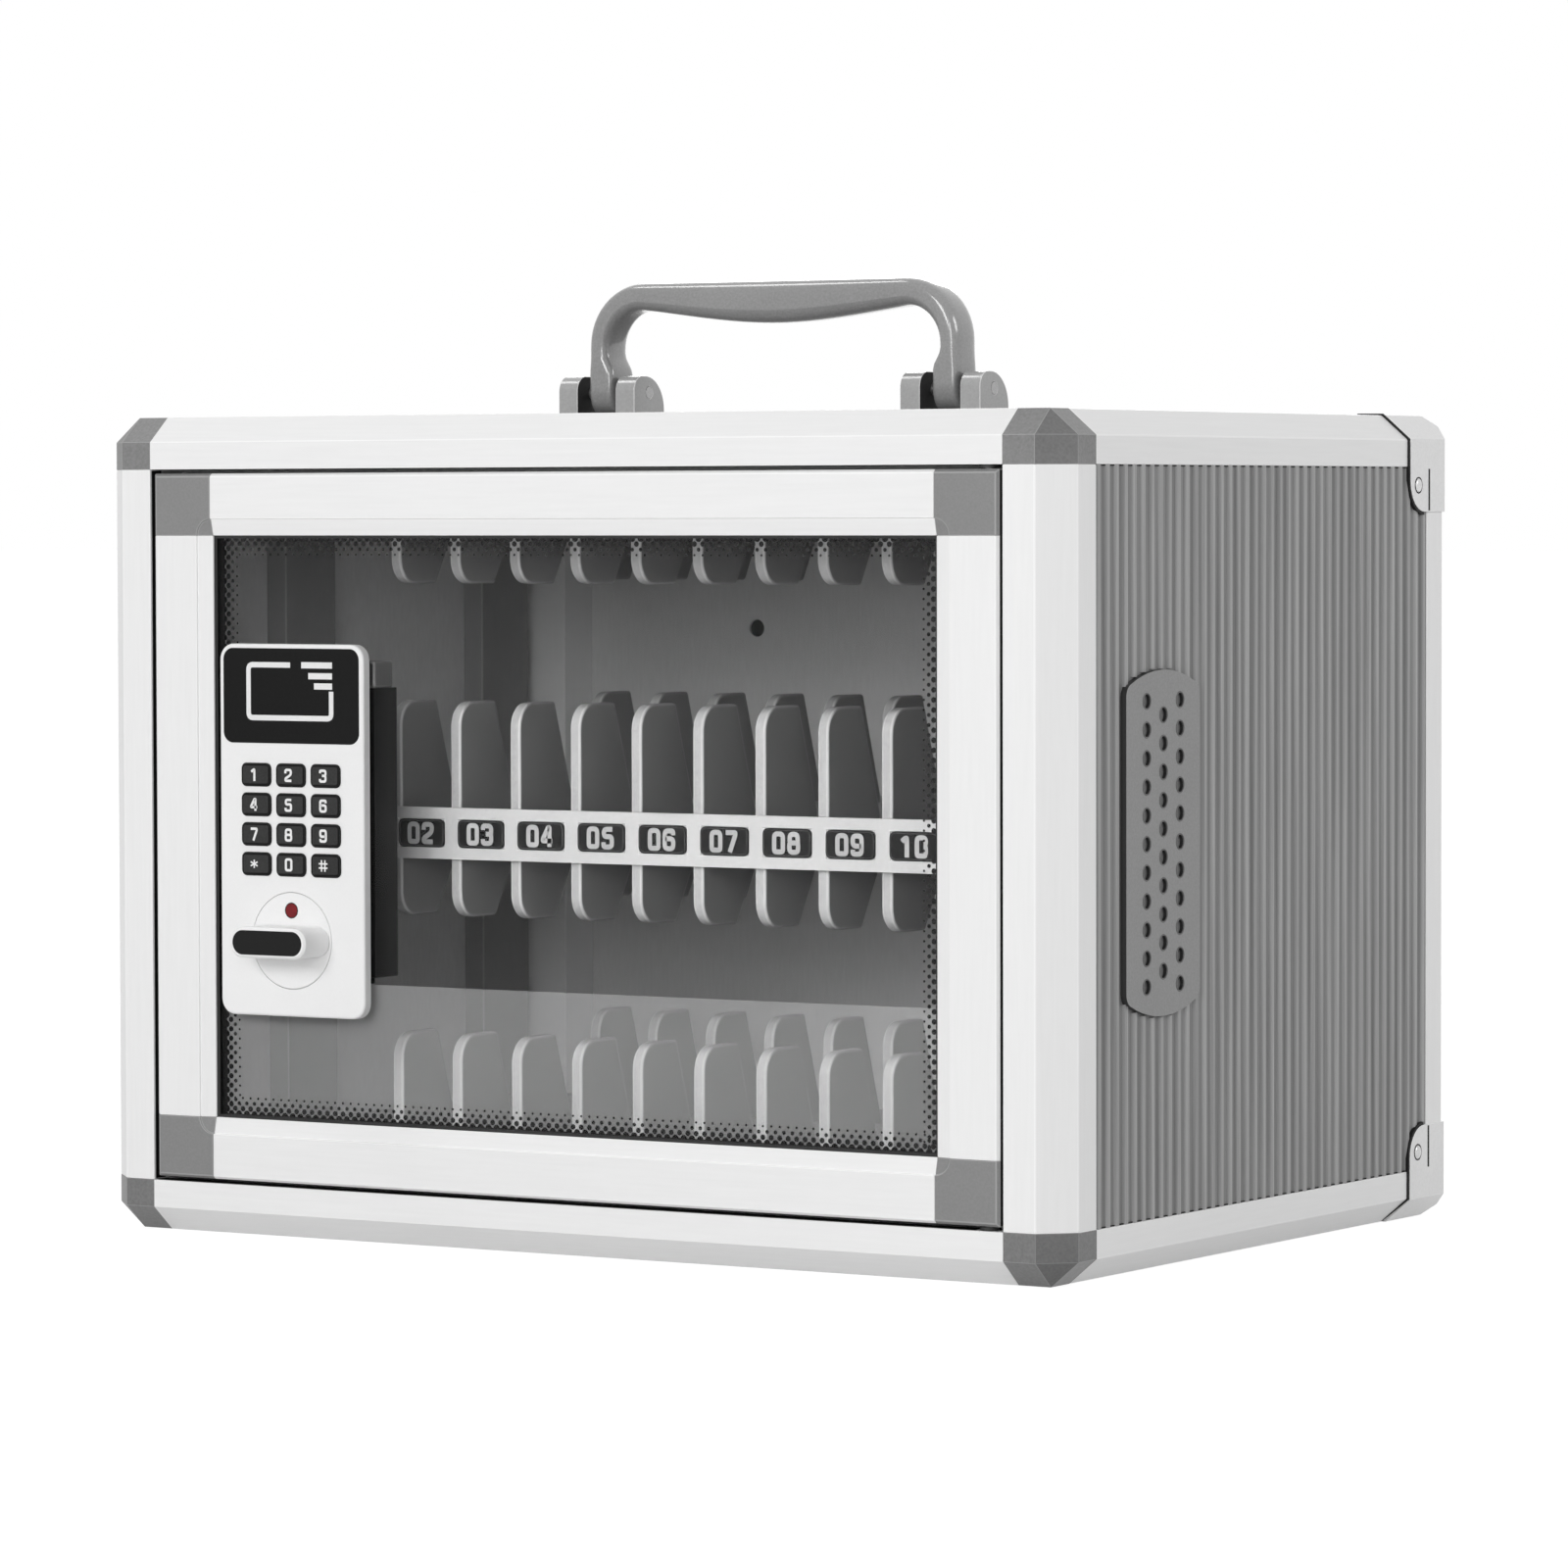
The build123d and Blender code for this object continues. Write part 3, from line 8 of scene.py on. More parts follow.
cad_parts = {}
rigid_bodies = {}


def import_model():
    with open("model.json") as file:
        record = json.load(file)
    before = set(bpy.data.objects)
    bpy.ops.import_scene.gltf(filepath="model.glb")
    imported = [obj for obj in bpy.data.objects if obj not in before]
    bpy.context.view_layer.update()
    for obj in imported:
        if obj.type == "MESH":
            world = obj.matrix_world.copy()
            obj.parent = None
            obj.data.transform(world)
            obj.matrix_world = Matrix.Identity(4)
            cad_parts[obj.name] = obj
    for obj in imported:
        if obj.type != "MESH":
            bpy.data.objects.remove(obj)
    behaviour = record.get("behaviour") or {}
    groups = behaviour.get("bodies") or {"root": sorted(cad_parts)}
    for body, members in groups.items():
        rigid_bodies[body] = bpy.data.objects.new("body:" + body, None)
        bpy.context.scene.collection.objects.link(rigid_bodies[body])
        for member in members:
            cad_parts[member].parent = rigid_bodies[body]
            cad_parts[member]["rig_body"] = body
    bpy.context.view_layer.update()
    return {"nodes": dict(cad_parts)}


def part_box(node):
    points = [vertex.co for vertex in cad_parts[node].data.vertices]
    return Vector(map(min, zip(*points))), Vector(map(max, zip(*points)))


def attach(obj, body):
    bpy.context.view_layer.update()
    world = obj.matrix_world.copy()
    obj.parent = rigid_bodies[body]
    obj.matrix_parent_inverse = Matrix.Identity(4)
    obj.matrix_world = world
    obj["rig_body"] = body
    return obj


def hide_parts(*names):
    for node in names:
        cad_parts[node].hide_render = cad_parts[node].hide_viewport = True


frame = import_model()


def tone(level):
    """A linear colour from its screen level, 0 to 255, or from a tuple of three of them."""
    shares = [part / 255 for part in (level if isinstance(level, tuple) else (level,) * 3)]
    return [s / 12.92 if s <= 0.04045 else ((s + 0.055) / 1.055) ** 2.4 for s in shares] + [1.0]


def add_node(tree, kind, inputs=None, **settings):
    """A new node, its settings made, and its inputs set to values or linked to other nodes' outputs."""
    node = tree.nodes.new(kind)
    for setting, value in settings.items():
        setattr(node, setting, value)
    for socket, value in (inputs or {}).items():
        if isinstance(value, bpy.types.NodeSocket):
            tree.links.new(value, node.inputs[socket])
        else:
            node.inputs[socket].default_value = value
    return node


def reckoned(tree, operation, first, second=0.0):
    """The result of one step of arithmetic."""
    return add_node(tree, "ShaderNodeMath", {0: first, 1: second}, operation=operation).outputs[0]


def ranged(tree, value, before=(0.0, 1.0), after=(0.0, 1.0)):
    """A value carried from one range to another."""
    sockets = {"Value": value, "From Min": before[0], "From Max": before[1], "To Min": after[0],
               "To Max": after[1]}
    return add_node(tree, "ShaderNodeMapRange", sockets).outputs[0]


def mixed(tree, share, first, second, way="MIX"):
    """The colour that two colours make."""
    return add_node(tree, "ShaderNodeMix", {"Factor": share, 6: first, 7: second}, data_type="RGBA",
                    blend_type=way).outputs[2]


def open_group(name, kind, inputs, outputs):
    """A new node group with named inputs and outputs, and the sockets that its nodes read."""
    group = bpy.data.node_groups.new(name, kind)
    for way, sockets in (("INPUT", inputs), ("OUTPUT", outputs)):
        for socket, holds in sockets.items():
            group.interface.new_socket(name=socket, in_out=way, socket_type="NodeSocket" + holds)
    return group, group.nodes.new("NodeGroupInput").outputs


def grain_group():
    """Colour, roughness and height of a surface with soft patches, a fine grain and a painted highlight on
    broken edges.
    """
    group, given = open_group("surface_grain", "ShaderNodeTree",
                              {"Light": "Color", "Dark": "Color", "Edge": "Color", "Patch": "Float",
                               "Grain": "Float", "Stretch": "Vector", "Smooth": "Float", "Rough": "Float"},
                              {"Color": "Color", "Roughness": "Float", "Height": "Float"})
    place = add_node(group, "ShaderNodeTexCoord").outputs["Object"]
    along = add_node(group, "ShaderNodeVectorMath", {0: place, 1: given["Stretch"]}, operation="MULTIPLY")
    patches, grains = [
        add_node(group, "ShaderNodeTexNoise",
                 {"Vector": along.outputs[0], "Scale": given[size], "Detail": detail}).outputs["Fac"]
        for size, detail in (("Patch", 3.0), ("Grain", 2.0))]
    # Most of a noise lies between these values.
    noise_span = (0.36, 0.64)
    both = add_node(group, "ShaderNodeMix", {"Factor": 0.45, "A": patches, "B": grains}).outputs["Result"]
    shade = mixed(group, ranged(group, both, noise_span), given["Dark"], given["Light"])
    # The bevels of broken edges take the Edge colour, a painted highlight.
    edges = add_node(group, "ShaderNodeAttribute", attribute_name="broken_edge").outputs["Fac"]
    colour = mixed(group, edges, shade, given["Edge"])
    gloss = ranged(group, patches, noise_span, (given["Smooth"], given["Rough"]))
    add_node(group, "NodeGroupOutput", {"Color": colour, "Roughness": gloss, "Height": grains})
    return group


def tuned(shader, **sockets):
    """Sets a shader's inputs, named with underscores for spaces."""
    for socket, value in sockets.items():
        shader.inputs[socket.replace("_", " ")].default_value = value


def fresh(name):
    """A new material, its tree and its shader."""
    material = bpy.data.materials.new(name)
    material.use_nodes = True
    return material, material.node_tree, material.node_tree.nodes["Principled BSDF"]


surface_grain = grain_group()


def coating(name, light, dark, edge, patch, grain, gloss, depth, stretch=(1, 1, 1), **sockets):
    """A material with the surface grain on its colour, gloss and bump, a painted highlight on its broken
    edges, and other inputs of its shader.
    """
    material, tree, shader = fresh(name)
    skin = add_node(tree, "ShaderNodeGroup", {"Light": tone(light), "Dark": tone(dark), "Edge": tone(edge),
                                              "Patch": patch, "Grain": grain, "Stretch": stretch,
                                              "Smooth": gloss[0], "Rough": gloss[1]},
                    node_tree=surface_grain).outputs
    bump = add_node(tree, "ShaderNodeBump", {"Strength": 0.4, "Distance": depth, "Height": skin["Height"]})
    for socket, value in (("Base Color", skin["Color"]), ("Roughness", skin["Roughness"]),
                          ("Normal", bump.outputs["Normal"])):
        tree.links.new(value, shader.inputs[socket])
    tuned(shader, **sockets)
    return material


def shaded(material, source, axes, span, shades):
    """Multiplies a colour by how far a position or a normal reaches along one axis, or two at once."""
    tree = material.node_tree
    colour = tree.nodes["Principled BSDF"].inputs["Base Color"]
    place = add_node(tree, "ShaderNodeTexCoord").outputs[source]
    parts = add_node(tree, "ShaderNodeSeparateXYZ", {0: place}).outputs
    reach = parts[axes] if len(axes) == 1 else reckoned(tree, "MULTIPLY", parts[axes[0]], parts[axes[1]])
    shade = ranged(tree, reckoned(tree, "ABSOLUTE", reach), span, shades)
    tree.links.new(mixed(tree, 1.0, colour.links[0].from_socket, shade, "MULTIPLY"), colour)


def dress(material, *nodes):
    """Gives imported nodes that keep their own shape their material."""
    for node in nodes:
        mesh = frame["nodes"][node].data
        mesh.materials.clear()
        mesh.materials.append(material)


def plain(source, name):
    """The evaluated shape of an object as a plain mesh, and the object gone."""
    seen = source.evaluated_get(bpy.context.evaluated_depsgraph_get())
    mesh = bpy.data.meshes.new_from_object(seen, preserve_all_data_layers=True,
                                           depsgraph=bpy.context.evaluated_depsgraph_get())
    mesh.name = name
    bpy.data.objects.remove(source)
    return mesh


def stand(name, mesh, body, material=None):
    """A finished piece on its body, with the slot that its finish comes from."""
    piece = bpy.data.objects.new(name, mesh)
    bpy.context.scene.collection.objects.link(piece)
    if material:
        mesh.materials.clear()
        mesh.materials.append(material)
    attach(piece, body)
    return piece


def edged(node, width, material, rounds=2):
    """A node's shape with its sharp edges broken to a small round, in the node's place."""
    shape = bmesh.new()
    shape.from_mesh(frame["nodes"][node].data)
    bmesh.ops.remove_doubles(shape, verts=shape.verts, dist=2e-6)
    bmesh.ops.dissolve_limit(shape, angle_limit=math.radians(0.5), verts=shape.verts, edges=shape.edges)
    mesh = bpy.data.meshes.new(node)
    shape.to_mesh(mesh)
    shape.free()
    for layer in [a for a in mesh.attributes if a.name == "custom_normal"]:
        mesh.attributes.remove(layer)
    mesh.polygons.foreach_set("use_smooth", [True] * len(mesh.polygons))
    for _ in range(2):
        mesh.materials.append(material)
    blank = bpy.data.objects.new(node + "_blank", mesh)
    bpy.context.scene.collection.objects.link(blank)
    bevel = blank.modifiers.new("broken_edges", "BEVEL")
    bevel.material = 1
    bevel.width = width
    bevel.segments = rounds
    bevel.limit_method = "ANGLE"
    bevel.angle_limit = math.radians(30)
    bevel.harden_normals = True
    mesh = plain(blank, node + "_edged")
    # The bevel's faces are found by their second slot. An attribute keeps them for the painted edge
    # highlight, and the slot goes.
    broken = [face.material_index for face in mesh.polygons]
    mesh.attributes.new("broken_edge", "FLOAT", "FACE").data.foreach_set("value", broken)
    mesh.polygons.foreach_set("material_index", [0] * len(mesh.polygons))
    piece = stand(node + "_edged", mesh, frame["nodes"][node]["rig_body"], material)
    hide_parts(node)
    return piece


white_across, white_deep, white_up = [
    coating("white_coat_" + way, 241, 237, 250, 9.0, 900.0, (0.30, 0.42), 2e-5, stretch)
    for way, stretch in (("across", (0.05, 1, 1)), ("deep", (1, 0.05, 1)), ("up", (1, 1, 0.05)))]
# Painted shade: the chamfers of upright bars, turned half away from the front, are darker.
shaded(white_up, "Normal", "XY", (0.15, 0.35), (1.0, 0.93))
bar_edge = 0.0004
for bar in ("front_rail_top", "front_rail_bottom", "rear_rails"):
    edged(bar, bar_edge, white_across)
for bar in ("front_post_left", "front_post_right", "rear_posts"):
    edged(bar, bar_edge, white_up)
edged("side_rails", bar_edge, white_deep)

# ---------------------------------------------------------------- corner caps
# Each front corner is a grey nylon casting with three spigots that plug into the bars. It carries on the
# bars' slopes and ends in a small three-sided facet. The mould leaves a fine grain. The broken edges are
# painted lighter, as highlight, and the facets across a corner and the lower caps are painted darker, as
# shade.
grey_cap = coating("grey_cap_plastic", 132, 110, 156, 14.0, 1100.0, (0.34, 0.48), 4e-5)
# Painted shade: darker where the facets turn across a corner, and on the lower caps by the floor.
shaded(grey_cap, "Normal", "XY", (0.15, 0.30), (1.0, 0.74))
shaded(grey_cap, "Object", "Z", (0.0, 0.09), (0.80, 1.0))
edged("corner_caps", 0.0005, grey_cap)

# ---------------------------------------------------------------- rear corner guards
# The rear corners are light grey die castings with thin skirts over the side and the back, each held by two
# domed rivets. A dark line along the front edge of the skirt is painted shade where it stands off the bars.
guard_coat = coating("guard_coat", 240, 230, 248, 20.0, 1100.0, (0.28, 0.42), 3e-5)
edged("rear_corner_guards", 0.0003, guard_coat)


def skinned(shape, rings, closed=False):
    """Joins rings of points into a tube, and shuts its ends unless it runs in a circle."""
    last = len(rings[0]) - 1
    for one, two in zip(rings, rings[1:] + rings[:1] if closed else rings[1:]):
        for corner in range(last + 1):
            shape.faces.new((one[corner], two[corner], two[corner - last], one[corner - last]))
    if not closed:
        shape.faces.new(rings[0])
        shape.faces.new(rings[-1][::-1])


def settled(shape, name):
    """A bmesh as a mesh, with its faces turned outwards."""
    bmesh.ops.recalc_face_normals(shape, faces=shape.faces)
    mesh = bpy.data.meshes.new(name)
    shape.to_mesh(mesh)
    shape.free()
    return mesh


def strip(path, ups, width, depth):
    """A closed band along points in space, lying on a surface whose outward directions are given."""
    band = bmesh.new()
    path = [Vector(point) for point in path]
    rings = []
    for here, (point, up) in enumerate(zip(path, ups)):
        along = (path[min(here + 1, len(path) - 1)] - path[max(here - 1, 0)]).normalized()
        up = Vector(up).normalized()
        side = along.cross(up).normalized() * (width / 2)
        rings.append([band.verts.new(point + across + up * lift) for across, lift in (
            (side, -depth), (-side, -depth), (-side, depth), (side, depth))])
    skinned(band, rings)
    return settled(band, "strip")


def joined(name, meshes):
    """Several meshes as one."""
    whole = bmesh.new()
    for mesh in meshes:
        whole.from_mesh(mesh)
    result = bpy.data.meshes.new(name)
    whole.to_mesh(result)
    whole.free()
    return result


# The case's half width, its front, back and top, and the width of a bar.
case_half, case_front, case_back, case_top, bar_w = 0.177, -0.123, 0.136, 0.26, 0.0204


def corner_point(flank, level, on_side, inward, away, drop):
    """A point by a rear corner, from its distances in from the side or the back face, along that face from
    the corner, and from the top or the bottom of the case."""
    in_x, in_y = (inward, away) if on_side else (away, inward)
    return (flank * (case_half - in_x), case_back - in_y, case_top - drop if level else drop)


# Black rubber. The same material also makes the painted shade lines at the guards and round the door.
guard_rubber = coating("guard_rubber", 22, 14, 34, 40.0, 2500.0, (0.5, 0.7), 3e-5, Specular_IOR_Level=0.2)
# A guard's reach along the bars and up the post, the round of its skirt, and the width and height of the
# slope it shares with the bars.
leg, tall, round_r, slope, slope_h = 0.0334, 0.031, 0.010, 0.0094, 0.0079
seam_start, seam_off, seam_w, seam_d = 0.018, 0.0005, 0.0010, 0.0006
skirt_t, step_foot, step_short, step_w, ring_w, mark_d = 0.0008, 0.0172, 0.0004, 0.0010, 0.0004, 0.00008
rivet_in, rivet_drop, rivet_r, rivet_h, ring_r = 0.0280, 0.0225, 0.0022, 0.0007, 0.0025
shade_lines = []
for flank in (-1, 1):
    for level in (0, 1):
        up = 1 if level else -1
        # Under the case the seam keeps clear of the table.
        flush = 0.0 if level else 0.0007
        for on_side in (True, False):
            outward = (flank, 0, 0) if on_side else (0, 1, 0)
            path, ups = [], []
            for inward, drop, out, rise in ((seam_start, flush, 0, 1), (slope, flush, 0.5, 1),
                                            (0.0, slope_h, 1, 0.5), (0.0, tall - round_r, 1, 0)):
                path.append(corner_point(flank, level, on_side, inward, leg + seam_off, drop))
                ups.append((out * outward[0], out * outward[1], rise * up))
            for step in range(1, 7):
                a = step * math.pi / 12
                path.append(corner_point(flank, level, on_side, 0.0,
                                         leg - round_r + (round_r + seam_off) * math.cos(a),
                                         tall - round_r + (round_r + seam_off) * math.sin(a)))
                ups.append(outward)
            shade_lines.append(strip(path, ups, seam_w, seam_d))
            # The skirt is stepped where it leaves the post. A dark line at the step and a dark ring round
            # its rivet are painted shade.
            step_line = [(bar_w, tall - step_short), (bar_w, step_foot)]
            ring = [(rivet_in + ring_r * math.cos(a), rivet_drop + ring_r * math.sin(a))
                    for a in [step * math.pi / 8 for step in range(17)]]
            for marks, wide in ((step_line, step_w), (ring, ring_w)):
                marks = [corner_point(flank, level, on_side, -skirt_t, away, drop) for away, drop in marks]
                shade_lines.append(strip(marks, [outward] * len(marks), wide, mark_d))
stand("guard_seams", joined("guard_seams", shade_lines), "case", guard_rubber)


def grow(name, points, tree, **inputs):
    """A plain mesh made by a tree of nodes on a set of points."""
    mesh = bpy.data.meshes.new(name)
    mesh.from_pydata(points, [], [])
    seed = bpy.data.objects.new(name + "_points", mesh)
    bpy.context.scene.collection.objects.link(seed)
    modifier = seed.modifiers.new("nodes", "NODES")
    modifier.node_group = tree
    for socket in tree.interface.items_tree:
        if socket.in_out == "INPUT" and socket.name.replace(" ", "_") in inputs:
            modifier[socket.identifier] = inputs[socket.name.replace(" ", "_")]
    return plain(seed, name)


def open_tree(name, **inputs):
    """A new tree that makes shapes on points, and the sockets that its nodes read."""
    named = {socket.replace("_", " "): holds for socket, holds in inputs.items()}
    return open_group(name, "GeometryNodeTree", {"Geometry": "Geometry", **named, "Finish": "Material"},
                      {"Geometry": "Geometry"})


def scattered(tree, given, shape, smooth=False, **places):
    """Ends a tree with copies of a shape on the points, made real, in the finish."""
    copies = add_node(tree, "GeometryNodeInstanceOnPoints", {"Points": given["Geometry"], "Instance": shape,
                                                             **places})
    real = add_node(tree, "GeometryNodeRealizeInstances", {0: copies.outputs[0]})
    if smooth:
        real = add_node(tree, "GeometryNodeSetShadeSmooth", {0: real.outputs[0]})
    paint = add_node(tree, "GeometryNodeSetMaterial", {0: real.outputs[0], "Material": given["Finish"]})
    add_node(tree, "NodeGroupOutput", {0: paint.outputs[0]})
    return tree


def dome_tree():
    """A flattened ball on every point: the head of a rivet, or a screen in a hole."""
    tree, given = open_tree("domes", Half_size="Vector")
    ball = add_node(tree, "GeometryNodeMeshUVSphere", {"Segments": 20, "Rings": 10, "Radius": 1.0})
    flat = add_node(tree, "GeometryNodeTransform",
                    {"Geometry": ball.outputs[0], "Scale": given["Half size"]})
    return scattered(tree, given, flat.outputs[0], smooth=True)


rivet_steel = coating("rivet_steel", 222, 196, 235, 60.0, 2200.0, (0.14, 0.24), 2e-5, Metallic=0.5)
domes = dome_tree()
heads = []
for on_side, size in ((True, (rivet_h, rivet_r, rivet_r)), (False, (rivet_r, rivet_h, rivet_r))):
    places = [corner_point(flank, level, on_side, -skirt_t, rivet_in, rivet_drop)
              for flank in (-1, 1) for level in (0, 1)]
    heads.append(grow("rivet_heads", places, domes, Half_size=size, Finish=rivet_steel))
piece = stand("rivet_heads", joined("rivet_heads", heads), "case", rivet_steel)
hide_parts("guard_rivets")

# ---------------------------------------------------------------- panels
# The sides are grey boards with upright ribs pressed into them, slid into the bars' grooves. The top,
# bottom and back are plain boards of the same stuff, with a fine rolled grain. The ribs' valleys are
# painted darker, as shade, and the back is painted lighter than the top and bottom, as light.
side_low, side_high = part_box("side_panel_right")
side_mid = (side_low + side_high) / 2
ribbed_board = coating("ribbed_board", 172, 134, 180, 260.0, 1000.0, (0.42, 0.56), 4e-5, (1, 1, 0.012))
# Painted shade: the colour darkens from the crests of the ribs down into the valleys.
shaded(ribbed_board, "Object", "X", (side_high.x - 0.0010, side_high.x - 0.0001), (0.52, 1.0))
dress(ribbed_board, "side_panel_left", "side_panel_right")
seal_x, seal_w, seal_d, rail_h = 0.1763, 0.0009, 0.0003, 0.0166
fore, aft, foot, head = case_front + bar_w, case_back - bar_w, rail_h, case_top - rail_h
seals = []
for flank in (-1, 1):
    corners = [(flank * seal_x, y, z)
               for y, z in ((fore, foot), (fore, head), (aft, head), (aft, foot), (fore, foot))]
    for ends in zip(corners, corners[1:]):
        seals.append(strip(ends, [(flank, 0, 0)] * 2, seal_w, seal_d))
stand("panel_seals", joined("panel_seals", seals), "case", guard_rubber)


def slab(shape, centre, size):
    """Adds a box to a bmesh."""
    bmesh.ops.create_cube(shape, size=1.0, matrix=Matrix.Translation(centre) @ Matrix.Diagonal((*size, 1)))


# Smooth pale sheets line the boards inside the box, lighter than the boards, as painted light for the dim
# inside.
lining_plastic = coating("lining_plastic", 224, 212, 230, 7.0, 900.0, (0.42, 0.56), 3e-5, (1, 1, 0.3))
lining_x, lining_t, lining_d, lining_short = 0.17392, 0.00014, 0.2180, 0.006
linings = bmesh.new()
for flank in (-1, 1):
    slab(linings, (flank * lining_x, side_mid.y, side_mid.z),
         (lining_t, lining_d, side_high.z - side_low.z - lining_short))
stand("side_linings", settled(linings, "side_linings"), "case", lining_plastic)
plain_board = coating("plain_board", 150, 138, 176, 12.0, 1000.0, (0.42, 0.56), 4e-5, (1, 1, 0.15))
# Painted light: the back is a lighter copy of the plain board, for the little light that reaches it inside.
rear_board = coating("rear_board", 216, 206, 230, 12.0, 1000.0, (0.42, 0.56), 4e-5, (1, 1, 0.15))
dress(plain_board, "top_panel", "bottom_panel")
dress(rear_board, "rear_panel")
# Soft black plugs close the two wall holes while the box stands on a table.
rear_low, rear_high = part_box("rear_panel")
hole_x, hole_z = 0.0885, 0.1893
plugs = grow("hole_plugs", [(side * hole_x, (rear_low.y + rear_high.y) / 2, hole_z) for side in (-1, 1)],
             domes, Half_size=(0.0031, 0.0007, 0.0031), Finish=guard_rubber)
stand("hole_plugs", plugs, "case")

# ---------------------------------------------------------------- vents
# A moulded grille with bowed ends is clipped into each side panel. Its three columns of round holes have
# raised, rounded rims. Its side walls and the holes' walls are painted darker, and the rims dark grey, as
# shade.
vent_plastic = coating("vent_plastic", 142, 128, 162, 16.0, 1500.0, (0.36, 0.5), 4e-5)
# Painted shade: faces that do not face out to the side, the grille's walls and the holes' walls, are
# darker.
shaded(vent_plastic, "Normal", "X", (0.05, 0.6), (0.12, 1.0))
rim_plastic = coating("rim_plastic", 92, 80, 92, 16.0, 1500.0, (0.3, 0.42), 2e-5)
edged("vent_plates", 0.0005, vent_plastic)


def turned(tree, shape, turn):
    """A shape turned by three angles."""
    return add_node(tree, "GeometryNodeTransform", {"Geometry": shape, "Rotation": turn}).outputs[0]


def rim_tree():
    """Rings on every point: the rims of the holes."""
    tree, given = open_tree("vent_rims", Ring_radius="Float", Lip_radius="Float")
    ring, lip = [add_node(tree, "GeometryNodeCurvePrimitiveCircle",
                          {"Resolution": sides, "Radius": given[size]}).outputs[0]
                 for sides, size in ((20, "Ring radius"), (6, "Lip radius"))]
    sweep = add_node(tree, "GeometryNodeCurveToMesh", {"Curve": ring, "Profile Curve": lip}).outputs[0]
    return scattered(tree, given, turned(tree, sweep, (0, math.pi / 2, 0)), smooth=True)


vent_low, vent_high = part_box("vent_plates")
vent_mid = (vent_low + vent_high) / 2
column_pitch, row_pitch, rim_in, screen_in = 0.0104, 0.00857, 0.0001, 0.0011
hole_places = []
for side in (-1, 1):
    for column, rows in ((-1, 11), (0, 10), (1, 11)):
        for row in range(rows):
            hole_places.append((side * (vent_high.x - rim_in), vent_mid.y + column * column_pitch,
                                vent_mid.z + (row - (rows - 1) / 2) * row_pitch))
rims = grow("vent_rims", hole_places, rim_tree(), Ring_radius=0.0024, Lip_radius=0.0003, Finish=rim_plastic)
stand("vent_rims", rims, "case")
# A fine grey dust screen lies behind the holes.
screen_grey = coating("screen_grey", 120, 98, 120, 60.0, 2600.0, (0.6, 0.75), 4e-5)
screens = grow("vent_screens", [(x - math.copysign(screen_in, x), y, z) for x, y, z in hole_places], domes,
               Half_size=(0.0001, 0.0023, 0.0023), Finish=screen_grey)
stand("vent_screens", screens, "case")
# The board's ribs run on to the vent's bowed ends.
rib_ends = bmesh.new()
half_w, half_h, bulge, corner_r, clear = 0.0230, 0.0521, 0.0052, 0.0040, 0.0003
rib_count, rib_pitch, rib_half, rib_reach, shortest = 40, 0.0055, 0.0008, 0.0015, 0.0002
rib_section = [(0.1762, -0.0016), (0.1770, -rib_half), (0.1770, rib_half), (0.1762, 0.0016)]
arc_r = (half_w ** 2 + bulge ** 2) / (2 * bulge)
near_y, far_y = vent_mid.y - half_w - clear, vent_mid.y + half_w + clear
for rib in range(rib_count):
    y = side_mid.y + (rib - (rib_count - 1) / 2) * rib_pitch
    off = abs(y - vent_mid.y)
    if off > half_w + rib_reach:
        continue
    past = min(corner_r, max(0.0, off + rib_half - (half_w - corner_r)))
    bow = (half_h - arc_r + math.sqrt(arc_r ** 2 - off ** 2) - corner_r
           + math.sqrt(corner_r ** 2 - past ** 2) + clear)
    if bow > half_h - shortest:
        continue
    for side in (-1, 1):
        for end in (-1, 1):
            skinned(rib_ends, [[rib_ends.verts.new((side * x, min(max(y + across, near_y), far_y),
                                                    vent_mid.z + end * z)) for x, across in rib_section]
                               for z in (bow, half_h + clear)])
stand("rib_ends", settled(rib_ends, "rib_ends"), "case", ribbed_board)

# ---------------------------------------------------------------- phone racks
# Three plates lie in grooves of the uprights on the side walls. Two rows of moulded tongues stand in each
# plate's slots, and a phone goes between two tongues. All of it is light grey plastic. The tongues' sides
# are painted darker than their fronts, as shade.
rack_plastic = coating("rack_plastic", 180, 164, 194, 10.0, 900.0, (0.40, 0.52), 4e-5)
# Painted shade: the tongues' faces that do not face the front are darker.
shaded(rack_plastic, "Normal", "Y", (0.15, 0.7), (0.48, 1.0))
shelf_plastic = coating("shelf_plastic", 150, 140, 176, 10.0, 900.0, (0.45, 0.58), 4e-5)
upright_plastic = coating("upright_plastic", 140, 130, 165, 10.0, 900.0, (0.42, 0.54), 4e-5, (1, 1, 0.2))
for row in ("dividers_top", "dividers_middle", "dividers_bottom"):
    edged(row, 0.0008, rack_plastic, rounds=3)
dress(shelf_plastic, "shelf_top", "shelf_middle", "shelf_bottom")
edged("shelf_uprights", 0.0004, upright_plastic)

# ---------------------------------------------------------------- numbers
# A pale strip runs along the front of each rack. A black tag with a printed number is pressed into it under
# each slot, from 01 on the left. A grey line just inside each tag's edge is a painted highlight.
strip_plastic = coating("strip_plastic", 196, 186, 210, 10.0, 900.0, (0.36, 0.48), 3e-5)
tag_black = coating("tag_black", 18, 12, 34, 30.0, 1500.0, (0.4, 0.5), 2e-5, Specular_IOR_Level=0.2)
tag_rim = coating("tag_rim", 74, 62, 74, 30.0, 1500.0, (0.3, 0.42), 2e-5)
number_print = coating("number_print", 186, 160, 198, 80.0, 2500.0, (0.4, 0.55), 1e-5)
edged("number_rails", 0.0003, strip_plastic)


